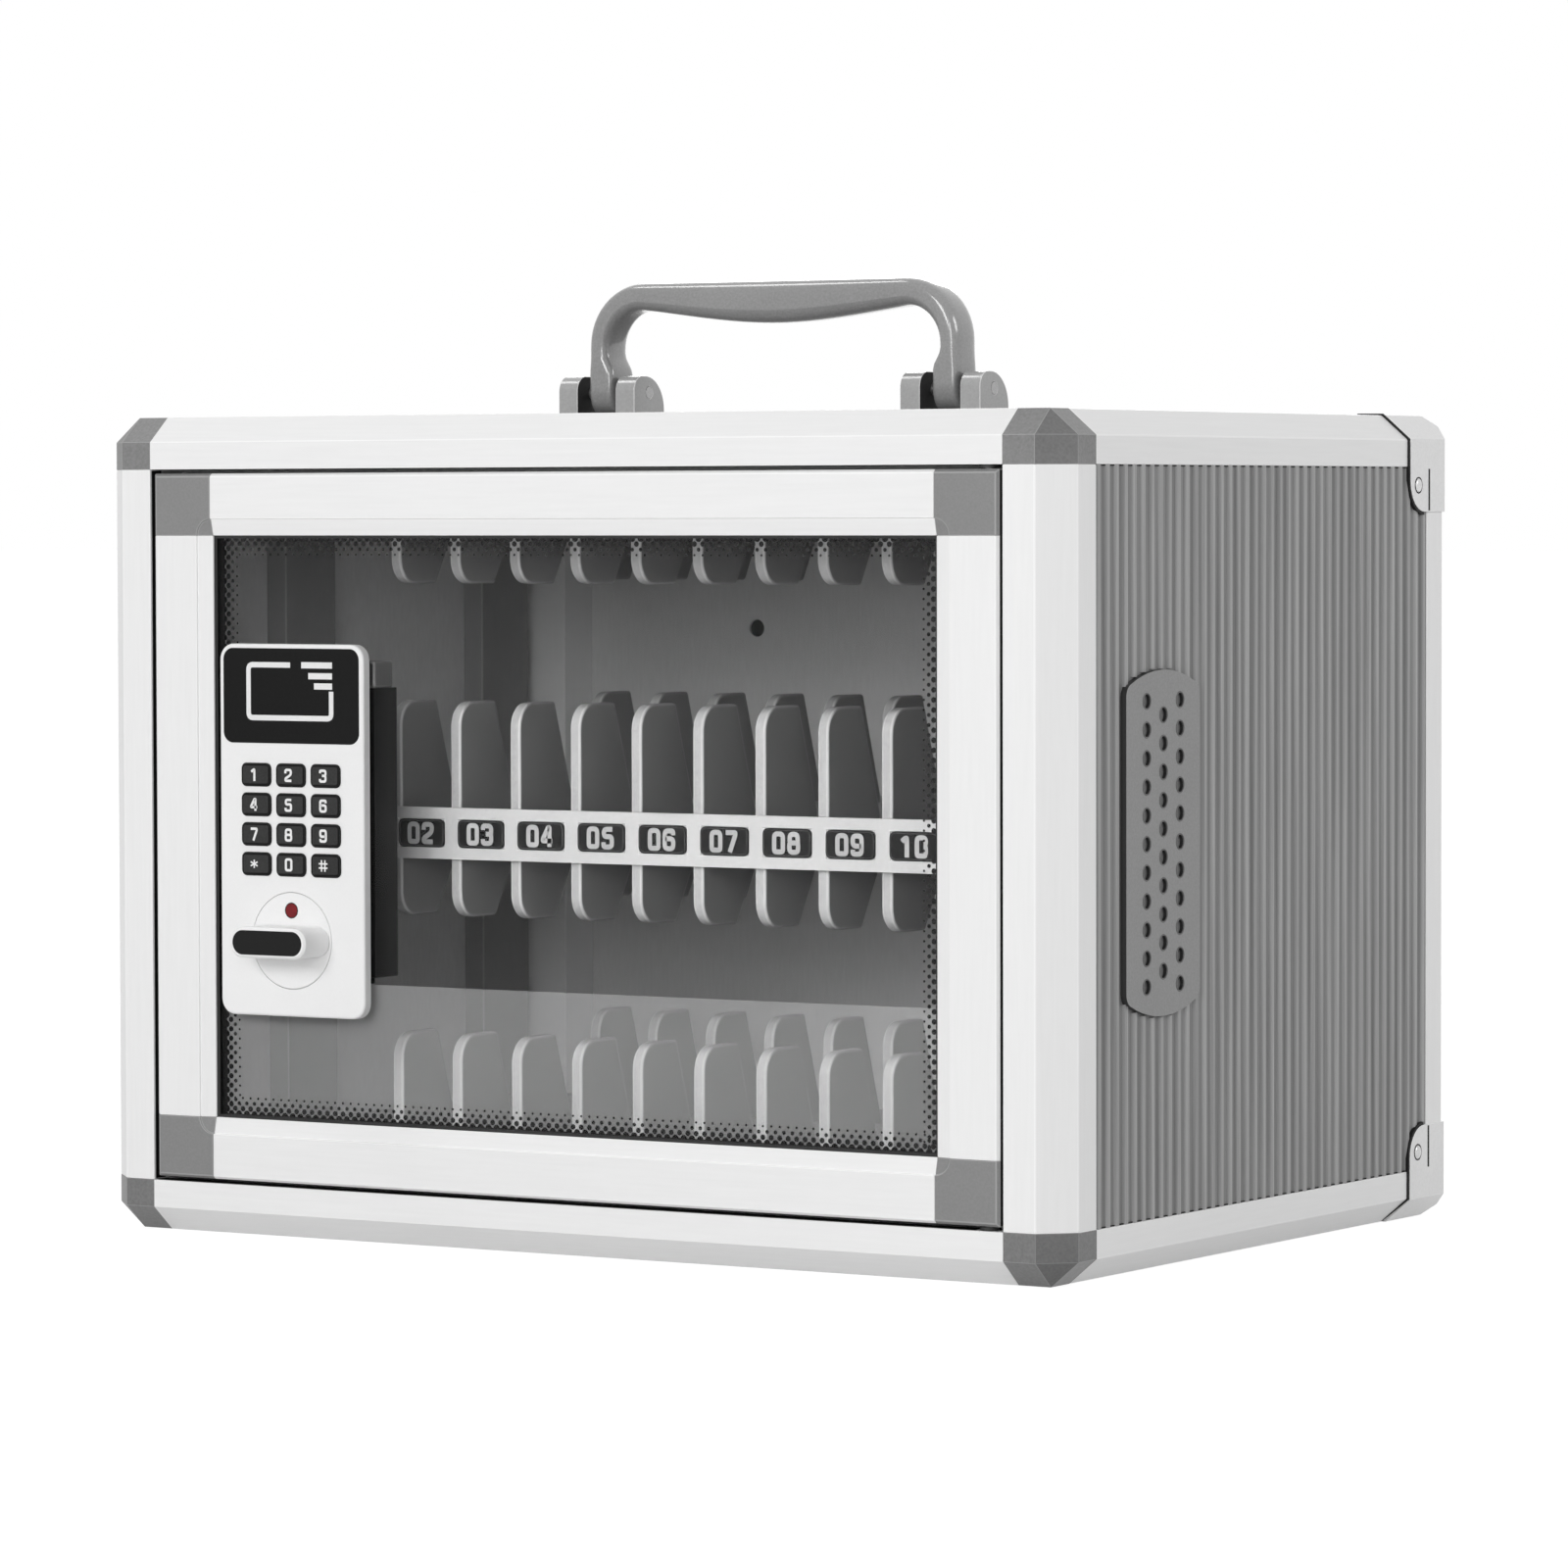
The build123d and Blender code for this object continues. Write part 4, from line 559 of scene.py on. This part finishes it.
def tag_tree(name, raised):
    """Rounded tags on every point, facing -Y: solid ones, or only the line round their edge."""
    tree, given = open_tree(name, Width="Float", Height="Float", Corner="Float", Depth="Float")
    edge = add_node(tree, "GeometryNodeCurvePrimitiveQuadrilateral",
                    {"Width": given["Width"], "Height": given["Height"]})
    outline = add_node(tree, "GeometryNodeFilletCurve",
                       {"Curve": edge.outputs[0], "Count": 4, "Radius": given["Corner"]},
                       mode="POLY").outputs[0]
    if raised:
        flat = add_node(tree, "GeometryNodeFillCurve", {"Curve": outline}, mode="NGONS").outputs[0]
        rise = add_node(tree, "GeometryNodeExtrudeMesh",
                        {"Mesh": flat, "Offset Scale": given["Depth"], "Individual": False})
        both = add_node(tree, "GeometryNodeJoinGeometry",
                        {0: add_node(tree, "GeometryNodeFlipFaces", {0: flat}).outputs[0]})
        tree.links.new(rise.outputs[0], both.inputs[0])
        shape = add_node(tree, "GeometryNodeMergeByDistance", {0: both.outputs[0], "Distance": 1e-6})
    else:
        pen_tip = add_node(tree, "GeometryNodeCurvePrimitiveCircle",
                           {"Resolution": 4, "Radius": given["Depth"]}).outputs[0]
        shape = add_node(tree, "GeometryNodeCurveToMesh", {"Curve": outline, "Profile Curve": pen_tip})
    return scattered(tree, given, turned(tree, shape.outputs[0], (math.pi / 2, 0, 0)))


solid_tags = tag_tree("rounded_tags", True)
tag_lines = tag_tree("tag_lines", False)
tag_w, tag_h, line_in, slot_count, slot_pitch = 0.0176, 0.0089, 0.0010, 10, 0.0228
strip_low, strip_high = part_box("number_plates")
tag_levels = (strip_high.z - tag_h / 2, strip_low.z + tag_h / 2)
tag_places = [((column - (slot_count - 1) / 2) * slot_pitch, level)
              for level in tag_levels for column in range(slot_count)]
tags = grow("number_tags", [(x, strip_high.y, z) for x, z in tag_places], solid_tags, Width=tag_w,
            Height=tag_h, Corner=0.0019, Depth=strip_high.y - strip_low.y, Finish=tag_black)
piece = stand("number_tags", tags, "case")
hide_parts("number_plates")
# Painted highlight: a grey line just inside the edge of each tag.
rims = grow("number_tag_rims", [(x, strip_low.y, z) for x, z in tag_places], tag_lines,
            Width=tag_w - line_in, Height=tag_h - line_in, Corner=0.0016, Depth=0.00014, Finish=tag_rim)
stand("number_tag_rims", rims, "case")


def rounded(points, radius):
    """A line through points with its corners rounded, each in four steps."""
    points = [Vector(point) for point in points]
    line = points[:1]
    for before, corner, after in zip(points, points[1:], points[2:]):
        reach = min(radius, (before - corner).length / 2, (after - corner).length / 2)
        start, end = [corner + (other - corner).normalized() * reach for other in (before, after)]
        line += [start.lerp(corner, t).lerp(corner.lerp(end, t), t) for t in (0, 0.25, 0.5, 0.75, 1)]
    return line + points[-1:]


ink_lift, ink_t, layer_lift = 0.00006, 0.00005, 0.00002


def ribbon(points, width, face, layer=0):
    """A printed line through points (x, z) on a face, with square ends, as a thin solid facing -Y."""
    line = bmesh.new()
    front = face - ink_lift - layer * layer_lift
    points = [Vector(point) for point in points]
    closed = (points[0] - points[-1]).length < 1e-9
    if closed:
        points.pop()
    rings = []
    for here, point in enumerate(points):
        before = points[here - 1] if closed or here else point
        after = points[(here + 1) % len(points)] if closed or here < len(points) - 1 else point
        arrive = (point - before).normalized() if before != point else (after - point).normalized()
        leave = (after - point).normalized() if after != point else arrive
        go = (arrive + leave).normalized()
        side = Vector((-go.y, go.x)) * (width / 2 / max(0.5, arrive.dot(go)))
        rings.append([line.verts.new((place.x, front + depth, place.y)) for place, depth in (
            (point + side, 0), (point - side, 0), (point - side, ink_t), (point + side, ink_t))])
    skinned(line, rings, closed)
    return settled(line, "line")


# Each figure is drawn with straight strokes in a box 1 wide and 1 high, as on a stencil.
FIGURES = {
    "0": [[(0.5, 0), (1, 0), (1, 1), (0, 1), (0, 0), (0.5, 0)]],
    "1": [[(0.05, 0.76), (0.62, 1.04), (0.62, -0.1)]],
    "2": [[(0, 0.68), (0, 1), (1, 1), (1, 0.56), (0, 0.2), (0, 0), (1.1, 0)]],
    "3": [[(0, 0.76), (0, 1), (1, 1), (1, 0.53), (0.35, 0.53)],
          [(0.35, 0.53), (1, 0.53), (1, 0), (0, 0), (0, 0.24)]],
    "4": [[(0.78, -0.1), (0.78, 1.0), (0.62, 1.0), (0, 0.34), (0, 0.24), (1.12, 0.24)]],
    "5": [[(1.05, 1), (0.05, 1), (0.05, 0.56), (1, 0.6), (1, 0), (0, 0), (0, 0.26)]],
    "6": [[(1, 0.76), (1, 1), (0, 1), (0, 0), (1, 0), (1, 0.56), (0.05, 0.56)]],
    "7": [[(-0.1, 1), (1, 1), (1, 0.86), (0.36, -0.1)]],
    "8": [[(0.5, 0.52), (0, 0.52), (0, 0), (1, 0), (1, 0.52), (0.5, 0.52)],
          [(0.5, 0.52), (0.04, 0.52), (0.04, 1), (0.96, 1), (0.96, 0.52), (0.5, 0.52)]],
    "9": [[(0, 0.24), (0, 0), (1, 0), (1, 1), (0, 1), (0, 0.44), (0.95, 0.44)]],
    "star": [[(0.5, 0.1), (0.5, 0.9)], [(0.0, 0.3), (1.0, 0.7)], [(1.0, 0.3), (0.0, 0.7)]],
    "hash": [[(0.25, -0.05), (0.25, 1.05)], [(0.75, -0.05), (0.75, 1.05)], [(-0.12, 0.3), (1.12, 0.3)],
             [(-0.12, 0.7), (1.12, 0.7)]],
}


def figure(name, x, z, width, height, pen, face):
    """The strokes of one figure, centred on (x, z), its outside width by height, printed on a face."""
    strokes = []
    for layer, stroke in enumerate(FIGURES[name]):
        line = [Vector((x + (u - 0.5) * (width - pen), z + (v - 0.5) * (height - pen))) for u, v in stroke]
        strokes.append(ribbon(rounded(line, pen * 0.8), pen, face, layer))
    return strokes


digit_shift, digit_left, digit_w, digit_h, digit_pen = 0.00275, 0.0002, 0.0047, 0.0071, 0.00155
figures = []
for number, (x, z) in enumerate(tag_places, start=1):
    for digit, shift in zip("%02d" % number, (-digit_shift, digit_shift)):
        figures += figure(digit, x + shift - digit_left, z, digit_w, digit_h, digit_pen, strip_low.y)
stand("slot_numbers", joined("slot_numbers", figures), "case", number_print)

# ---------------------------------------------------------------- door frame
# Four white bars, with a sloping bead on their inner side, plug into grey moulded corners. Each corner has
# a shallow quarter-round dish where the beads meet.
for bar in ("door_rail_top", "door_rail_bottom"):
    edged(bar, bar_edge, white_across)
for bar in ("door_stile_left", "door_stile_right"):
    edged(bar, bar_edge, white_up)
door_corner_plastic = coating("door_corner_plastic", 134, 124, 156, 14.0, 1400.0, (0.34, 0.48), 4e-5)
edged("door_corners", 0.0003, door_corner_plastic)

# ---------------------------------------------------------------- glass
# The pane is clear safety glass in a black rubber channel. A black screen-printed border of shrinking dots
# hides the channel, and a pale translucent band is printed along the bottom.


def blended(tree, share, first, second):
    """Puts two shaders on the surface, the second one by the share."""
    both = add_node(tree, "ShaderNodeMixShader", {0: share, 1: first.outputs[0], 2: second.outputs[0]})
    tree.links.new(both.outputs[0], tree.nodes["Material Output"].inputs["Surface"])


glass, tree, pane = fresh("door_pane")
tuned(pane, Base_Color=(0.89, 0.89, 0.89, 1), Transmission_Weight=1.0, IOR=1.18)
smears = add_node(tree, "ShaderNodeTexNoise", {"Scale": 14.0}).outputs["Fac"]
tree.links.new(ranged(tree, smears, after=(0.0, 0.03)), pane.inputs["Roughness"])
clear = add_node(tree, "ShaderNodeBsdfTransparent", {"Color": (0.95, 0.95, 0.95, 1)})
blended(tree, add_node(tree, "ShaderNodeLightPath").outputs["Is Shadow Ray"], pane, clear)
dress(glass, "door_glass")
seal_rubber = coating("seal_rubber", 26, 18, 40, 40.0, 2500.0, (0.5, 0.7), 3e-5)
dress(seal_rubber, "glass_seal")


def dot_tree():
    """A run of staggered dots in rows that shrink away from the edge."""
    tree, given = open_tree("printed_dots", Length="Float", Pitch="Float", Rows="Int", Row_pitch="Float",
                            Largest="Float", Smallest="Float")

    def get(operation, first, second=0.0):
        return reckoned(tree, operation, first, second)

    per_row = get("FLOOR", get("DIVIDE", given["Length"], given["Pitch"]))
    points = add_node(tree, "GeometryNodeMeshLine", {"Count": get("MULTIPLY", per_row, given["Rows"])})
    index = add_node(tree, "GeometryNodeInputIndex").outputs[0]
    row = get("FLOOR", get("DIVIDE", get("ADD", index, 0.5), per_row))
    step = get("SUBTRACT", index, get("MULTIPLY", row, per_row))
    shift = get("MULTIPLY", get("MODULO", row, 2.0), 0.5)
    start = get("DIVIDE", get("SUBTRACT", per_row, 1.0), 2.0)
    across = get("MULTIPLY", get("SUBTRACT", get("ADD", step, shift), start), given["Pitch"])
    up = get("MULTIPLY", row, given["Row pitch"])
    place = add_node(tree, "ShaderNodeCombineXYZ", {"X": across, "Z": up}).outputs[0]
    move = add_node(tree, "GeometryNodeSetPosition", {"Geometry": points.outputs[0], "Position": place})
    last_row = get("SUBTRACT", given["Rows"], 1.0)
    size = ranged(tree, row, (0.0, last_row), (given["Largest"], given["Smallest"]))
    dot = add_node(tree, "GeometryNodeMeshCylinder", {"Vertices": 10, "Radius": 1.0, "Depth": 0.06})
    return scattered(tree, given, turned(tree, dot.outputs[0], (math.pi / 2, 0, 0)), Points=move.outputs[0],
                     Scale=size)


print_black = coating("print_black", 12, 8, 12, 40.0, 2500.0, (0.35, 0.5), 1e-5, Specular_IOR_Level=0.15)
dots = dot_tree()
pane_low, pane_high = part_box("door_glass")
pane_mid = (pane_low + pane_high) / 2
border_in = 0.0050
run_w, run_h = pane_high.x - pane_low.x - 2 * border_in, pane_high.z - pane_low.z - 2 * border_in
print_face = Matrix.Translation((pane_mid.x, pane_high.y + ink_lift, pane_mid.z))
borders = []
for turn, length, reach in ((0, run_w, run_h / 2), (90, run_h, run_w / 2), (180, run_w, run_h / 2),
                            (270, run_h, run_w / 2 - 0.0012)):
    side = grow("border_dots", [(0, 0, 0)], dots, Length=length, Pitch=0.0030, Rows=4, Row_pitch=0.0017,
                Largest=0.00112, Smallest=0.00040, Finish=print_black)
    side.transform(print_face @ Matrix.Rotation(math.radians(turn), 4, "Y")
                   @ Matrix.Translation((0, 0, -reach)))
    borders.append(side)
stand("border_dots", joined("border_dots", borders), "door", print_black)

band, tree, veil = fresh("printed_band")
cloud = add_node(tree, "ShaderNodeTexNoise", {"Scale": 30.0}).outputs["Fac"]
tree.links.new(mixed(tree, cloud, tone(214), tone(224)), veil.inputs["Base Color"])
tuned(veil, Roughness=0.6, Alpha=0.095)
film_in, film_top, film_lift, film_t = 0.001, 0.0815, 0.00020, 0.00008
film_low = pane_low.z + film_in
film = bmesh.new()
slab(film, (pane_mid.x, pane_high.y + film_lift, (film_top + film_low) / 2),
     (pane_high.x - pane_low.x - 2 * film_in, film_t, film_top - film_low))
stand("printed_band", settled(film, "printed_band"), "door", band)

# ---------------------------------------------------------------- door gap shade
# A thin black band runs round the edge of the door, and another round the opening: painted shade in the gap
# between them. By the pivots that one stays behind the axis, clear of the door's turning edge.
door_low, door_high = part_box("door_corners")
band_w, band_t, band_in, band_end, pivot_side = 0.0050, 0.00006, 0.0009, 0.0004, 0.1465
band_y = door_low.y + band_in + band_w / 2
for name, body, out, lift, behind in (("door_edge_seal", "door", 0.0, 0.0001, 0.0),
                                      ("opening_seal", "case", 0.0013, -0.0001, 0.0056)):
    reach, foot, head = door_high.x + out, door_low.z - out, door_high.z + out
    bands = []
    for flank, y in ((-1, band_y), (1, band_y + behind)):
        x = flank * (reach + lift)
        bands.append(strip([(x, y, foot + band_end), (x, y, head - band_end)], [(flank, 0, 0)] * 2, band_w,
                           band_t))
    for level, z in ((-1, foot - lift), (1, head + lift)):
        bands.append(strip([(band_end - reach, band_y, z), (pivot_side, band_y, z)], [(0, 0, level)] * 2,
                           band_w, band_t))
    stand(name, joined(name, bands), body, guard_rubber)

# ---------------------------------------------------------------- door pivots
# Two steel pins in the right-hand corners carry the door, with a washer on each that keeps it off the
# rails. The washers are coloured black as painted shade of the gap by the pivots.
pin_steel = coating("pin_steel", 176, 160, 200, 80.0, 2200.0, (0.22, 0.36), 2e-5, Metallic=0.9)
dress(pin_steel, "hinge_pins")
# Painted shade: the washers are black so that the gap by the pivots reads dark.
dress(seal_rubber, "hinge_washers")

# ---------------------------------------------------------------- lock
# An electronic cabinet lock is clamped through the glass: a white moulded plate in front, and behind it a
# black housing under a pale cover. Four screws draw the two halves together.
lock_white = coating("lock_white", 241, 238, 246, 12.0, 1600.0, (0.26, 0.36), 1e-5)
lock_black = coating("lock_black", 24, 17, 36, 16.0, 1500.0, (0.4, 0.55), 4e-5, Specular_IOR_Level=0.15)
lock_pale = coating("lock_pale", 94, 82, 110, 16.0, 1500.0, (0.4, 0.55), 3e-5)
dress(lock_white, "lock_plate", "knob_rosette")
edged("lock_body", 0.0005, lock_black)
edged("lock_body_cover", 0.0008, lock_pale, rounds=3)
edged("bolt_housing", 0.0004, lock_black)
dress(pin_steel, "lock_screws")
edged("latch_bolt", 0.0003, pin_steel)

# ---------------------------------------------------------------- reader window
# The card reader is behind a glossy black window, flush in the plate. A white outline of a card with three
# waves is printed on it.
window_black = coating("window_black", 22, 17, 34, 8.0, 900.0, (0.18, 0.28), 5e-6, Specular_IOR_Level=0.12)
dress(window_black, "reader_window")
window_print = coating("window_print", 236, 228, 240, 60.0, 2000.0, (0.35, 0.45), 1e-5)
window_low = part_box("reader_window")[0]
card_l, card_r = window_low.x + 0.0098, window_low.x + 0.0418
card_b, card_t = window_low.z + 0.0080, window_low.z + 0.0247
card_pen, wave_pen, wave_r = 0.0017, 0.001955, card_r + 0.0004
outline = rounded([(card_l + 0.0162, card_t), (card_l, card_t), (card_l, card_b), (card_r, card_b),
                   (card_r, card_b + 0.0085)], 0.0016)
prints = [ribbon(outline, card_pen, window_low.y)]
for left, drop in ((0.0205, 0.0), (0.0232, 0.0034), (0.0254, 0.0066)):
    wave = [(card_l + left, card_t - drop), (wave_r, card_t - drop)]
    prints.append(ribbon(wave, wave_pen, window_low.y))
stand("card_mark", joined("card_mark", prints), "door", window_print)

# ---------------------------------------------------------------- keys
# Twelve sprung rubber keys stand a little out of the plate. Each has a white figure printed on it, and each
# moves on its own.
key_rubber = coating("key_rubber", 56, 44, 30, 40.0, 1800.0, (0.42, 0.56), 3e-5, Specular_IOR_Level=0.15)
# Painted shade: the keys' rounded sides, turned away from the front, are darker.
shaded(key_rubber, "Normal", "Y", (0.6, 0.98), (0.25, 1.0))
key_print = coating("key_print", 240, 232, 244, 80.0, 2500.0, (0.4, 0.5), 1e-5)
gap_shade_in, figure_left = 0.0006, 0.0006
key_places = []
for name in ("1", "2", "3", "4", "5", "6", "7", "8", "9", "star", "0", "hash"):
    dress(key_rubber, "key_" + name)
    low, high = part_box("key_" + name)
    centre = (low + high) / 2
    key_places.append((centre.x, low.y + gap_shade_in, centre.z))
    height, width, pen = (0.0038, 0.0032, 0.0005) if name in ("star", "hash") else (0.0042, 0.0029, 0.0008)
    strokes = figure(name, centre.x - figure_left, centre.z, width, height, pen, low.y)
    stand("figure_" + name, joined("figure_" + name, strokes), "button_" + name, key_print)
# Painted shade: a black ring lies in the gap round each key.
wells = grow("key_wells", key_places, tag_lines, Width=0.0107, Height=0.0066, Corner=0.0014, Depth=0.00045,
             Finish=lock_black)
stand("key_wells", wells, "door")

# ---------------------------------------------------------------- knob
# The white knob turns in a flush disc and has a glossy black pad on its face. Its spindle goes through the
# glass to the crank that drives the bolt. A red lamp shows beside it.
dress(lock_white, "lock_knob")
pad_black = coating("pad_black", 24, 18, 40, 12.0, 1400.0, (0.18, 0.28), 1e-5, Specular_IOR_Level=0.15)
dress(pad_black, "knob_insert")
lamp_red = coating("lamp_red", (140, 10, 22), (84, 4, 12), (170, 60, 66), 120.0, 2500.0, (0.12, 0.2), 1e-5,
                   Specular_IOR_Level=0.3)
dress(lamp_red, "status_led")
led_low, led_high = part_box("status_led")
led_mid = (led_low + led_high) / 2
led_in = 0.00015
led_rim = grow("led_rim", [(led_mid.x, led_low.y + led_in, led_mid.z)], tag_lines, Width=0.0048,
               Height=0.0048, Corner=0.0024, Depth=0.0003, Finish=lock_black)
stand("led_rim", led_rim, "door")

# ---------------------------------------------------------------- carrying handle
# A moulded grey grip, thicker in its middle, swings on two steel pins between the ears of two brackets on
# the top panel.
handle_plastic = coating("handle_plastic", 148, 130, 184, 18.0, 1300.0, (0.14, 0.22), 5e-6, Coat_Weight=0.8,
                         Coat_Roughness=0.10)
bracket_plastic = coating("bracket_plastic", 172, 158, 214, 18.0, 1300.0, (0.18, 0.28), 2e-5,
                          Coat_Weight=0.6, Coat_Roughness=0.12)
brackets = edged("handle_brackets", 0.0008, bracket_plastic, rounds=3).data
# The faces between the ears are painted dark, as the shade in that narrow gap.
brackets.materials.append(coating("liner_rubber", 52, 42, 66, 20.0, 1500.0, (0.5, 0.7), 3e-5))
bracket_x, gap_shade_half, gap_shade_foot = 0.065, 0.0076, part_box("handle_brackets")[0].z + 0.0017
for face in brackets.polygons:
    between = abs(abs(face.center.x) - bracket_x) < gap_shade_half
    level = abs(face.normal.x) > 0.9 or face.normal.z > 0.9
    if between and (level or face.center.z < gap_shade_foot):
        face.material_index = 1
bail_low, bail_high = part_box("handle_bail")
pin_low, pin_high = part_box("handle_pins")
axle = (pin_low + pin_high) / 2
deep = (bail_high.y - bail_low.y) / 2
foot_w, leg_w, grip_t, belly, bend_r, hollow_r = 0.0096, 0.0072, 0.0090, 0.0048, 0.0200, 0.0126
square, oval = 0.40, 0.62
half, top = bail_high.x, bail_high.z
# Each station is one section of the grip: an outer and an inner point (x, z), half its depth, and how round
# it is. They go from a foot up the leg and round the bend to the middle, and are mirrored from there.
stations = []
for a in (84, 66, 48, 32, 16):
    drop, depth = deep * math.sin(math.radians(a)), deep * math.cos(math.radians(a))
    stations.append(((half, axle.z - drop), (half - foot_w, axle.z - drop), depth, square))
for rise, flare in ((0, 0), (0.003, 0), (0.006, 0), (0.0078, 0.16), (0.0095, 0.5), (0.0112, 0.84),
                    (0.013, 1)):
    stations.append(((half, axle.z + rise), (half - foot_w + (foot_w - leg_w) * flare, axle.z + rise), deep,
                     square + (oval - square) * flare))
for step in range(13):
    a = math.radians(step * 7.5)
    stations.append(((half - bend_r + bend_r * math.cos(a), top - bend_r + bend_r * math.sin(a)),
                     (half - leg_w - hollow_r + hollow_r * math.cos(a),
                      top - grip_t - hollow_r + hollow_r * math.sin(a)), deep, oval))
for step in range(1, 13):
    u = 1 - step / 12
    x = u * (half - bend_r)
    stations.append(((x, top), (x, top - grip_t - belly * (1 - 1.75 * u ** 2 + 0.75 * u ** 3)), deep, oval))
stations += [((-outer[0], outer[1]), (-inner[0], inner[1]), *rest)
             for outer, inner, *rest in stations[-2::-1]]
grip = bmesh.new()
ring_steps = 36
rings = []
for outer, inner, depth, power in stations:
    outer, inner = Vector((outer[0], axle.y, outer[1])), Vector((inner[0], axle.y, inner[1]))
    ring = []
    for step in range(ring_steps):
        a = step * math.pi / (ring_steps / 2)
        c, d = math.cos(a), math.sin(a)
        ring.append(grip.verts.new((outer + inner) / 2
                                   + (outer - inner) / 2 * math.copysign(abs(c) ** power, c)
                                   + Vector((0, depth * math.copysign(abs(d) ** power, d), 0))))
    rings.append(ring)
skinned(grip, rings)
grip = settled(grip, "handle_grip")
grip.polygons.foreach_set("use_smooth", [True] * len(grip.polygons))
piece = stand("handle_grip", grip, frame["nodes"]["handle_bail"]["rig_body"],
              handle_plastic)
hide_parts("handle_bail")
dress(pin_steel, "handle_pins")

# ---------------------------------------------------------------- studio
# The box stands on a wide pale floor in a white room. Five soft square lamps light it: a strong one and a
# weaker one in front, one at the right side, a small one above on the left, and one behind.
scene = bpy.context.scene
scene.view_settings.view_transform = "Standard"
floor_half, floor_z = 30, -0.0002
floor_mesh = bpy.data.meshes.new("floor")
floor_mesh.from_pydata([(x * floor_half, y * floor_half, floor_z)
                        for x, y in ((-1, -1), (1, -1), (1, 1), (-1, 1))], [], [(0, 1, 2, 3)])
floor = bpy.data.objects.new("floor", floor_mesh)
scene.collection.objects.link(floor)


def seen_ray(tree):
    """1 for a ray by which something is seen: straight, in a reflection or through glass."""
    way = add_node(tree, "ShaderNodeLightPath").outputs
    direct = reckoned(tree, "MAXIMUM", way["Is Camera Ray"], way["Is Glossy Ray"])
    return reckoned(tree, "MAXIMUM", direct, way["Is Transmission Ray"])


pale, tree, matt = fresh("pale_floor")
tuned(matt, Base_Color=(0.68, 0.68, 0.68, 1), Roughness=0.9)
lit = add_node(tree, "ShaderNodeEmission", {"Strength": 1.29})
blended(tree, reckoned(tree, "MULTIPLY", seen_ray(tree), 0.72), matt, lit)
floor_mesh.materials.append(pale)

world = bpy.data.worlds.new("studio")
world.use_nodes = True
scene.world = world
sky = world.node_tree.nodes["Background"]
tuned(sky, Color=(1, 1, 1, 1))
strength = ranged(world.node_tree, seen_ray(world.node_tree), after=(0.36, 1.0))
world.node_tree.links.new(strength, sky.inputs["Strength"])


def aimed(place, aim):
    """The pose of a lamp or a camera that looks at a point."""
    turn = (Vector(aim) - Vector(place)).to_track_quat("-Z", "Y")
    return Matrix.Translation(place) @ turn.to_matrix().to_4x4()


for name, place, aim, size, power in (("key_lamp", (-0.15, -3.1, 1.3), 0.15, 1.1, 33),
                                      ("front_lamp", (1.2, -2.9, 0.75), 0.13, 1.1, 21),
                                      ("side_lamp", (2.4, 0.7, 1.3), 0.15, 0.9, 16),
                                      ("top_lamp", (-1.3, -0.4, 2.3), 0.20, 0.6, 7),
                                      ("rear_lamp", (-1.4, 2.8, 1.6), 0.15, 1.2, 16)):
    light = bpy.data.lights.new(name, "AREA")
    light.size = size
    light.energy = power
    lamp = bpy.data.objects.new(name, light)
    lamp.matrix_world = aimed(place, (0, 0, aim))
    scene.collection.objects.link(lamp)

camera_data = bpy.data.cameras.new("camera")
camera_data.lens = 155.59
camera_data.sensor_width = 36.0
camera_data.clip_end = 100.0
camera = bpy.data.objects.new("camera", camera_data)
tilt = Matrix.Rotation(math.radians(-0.14), 4, "Z")
camera.matrix_world = aimed((1.154556, -1.851999, 0.230237), (0.0436, -0.063, 0.14492)) @ tilt
scene.collection.objects.link(camera)
scene.camera = camera
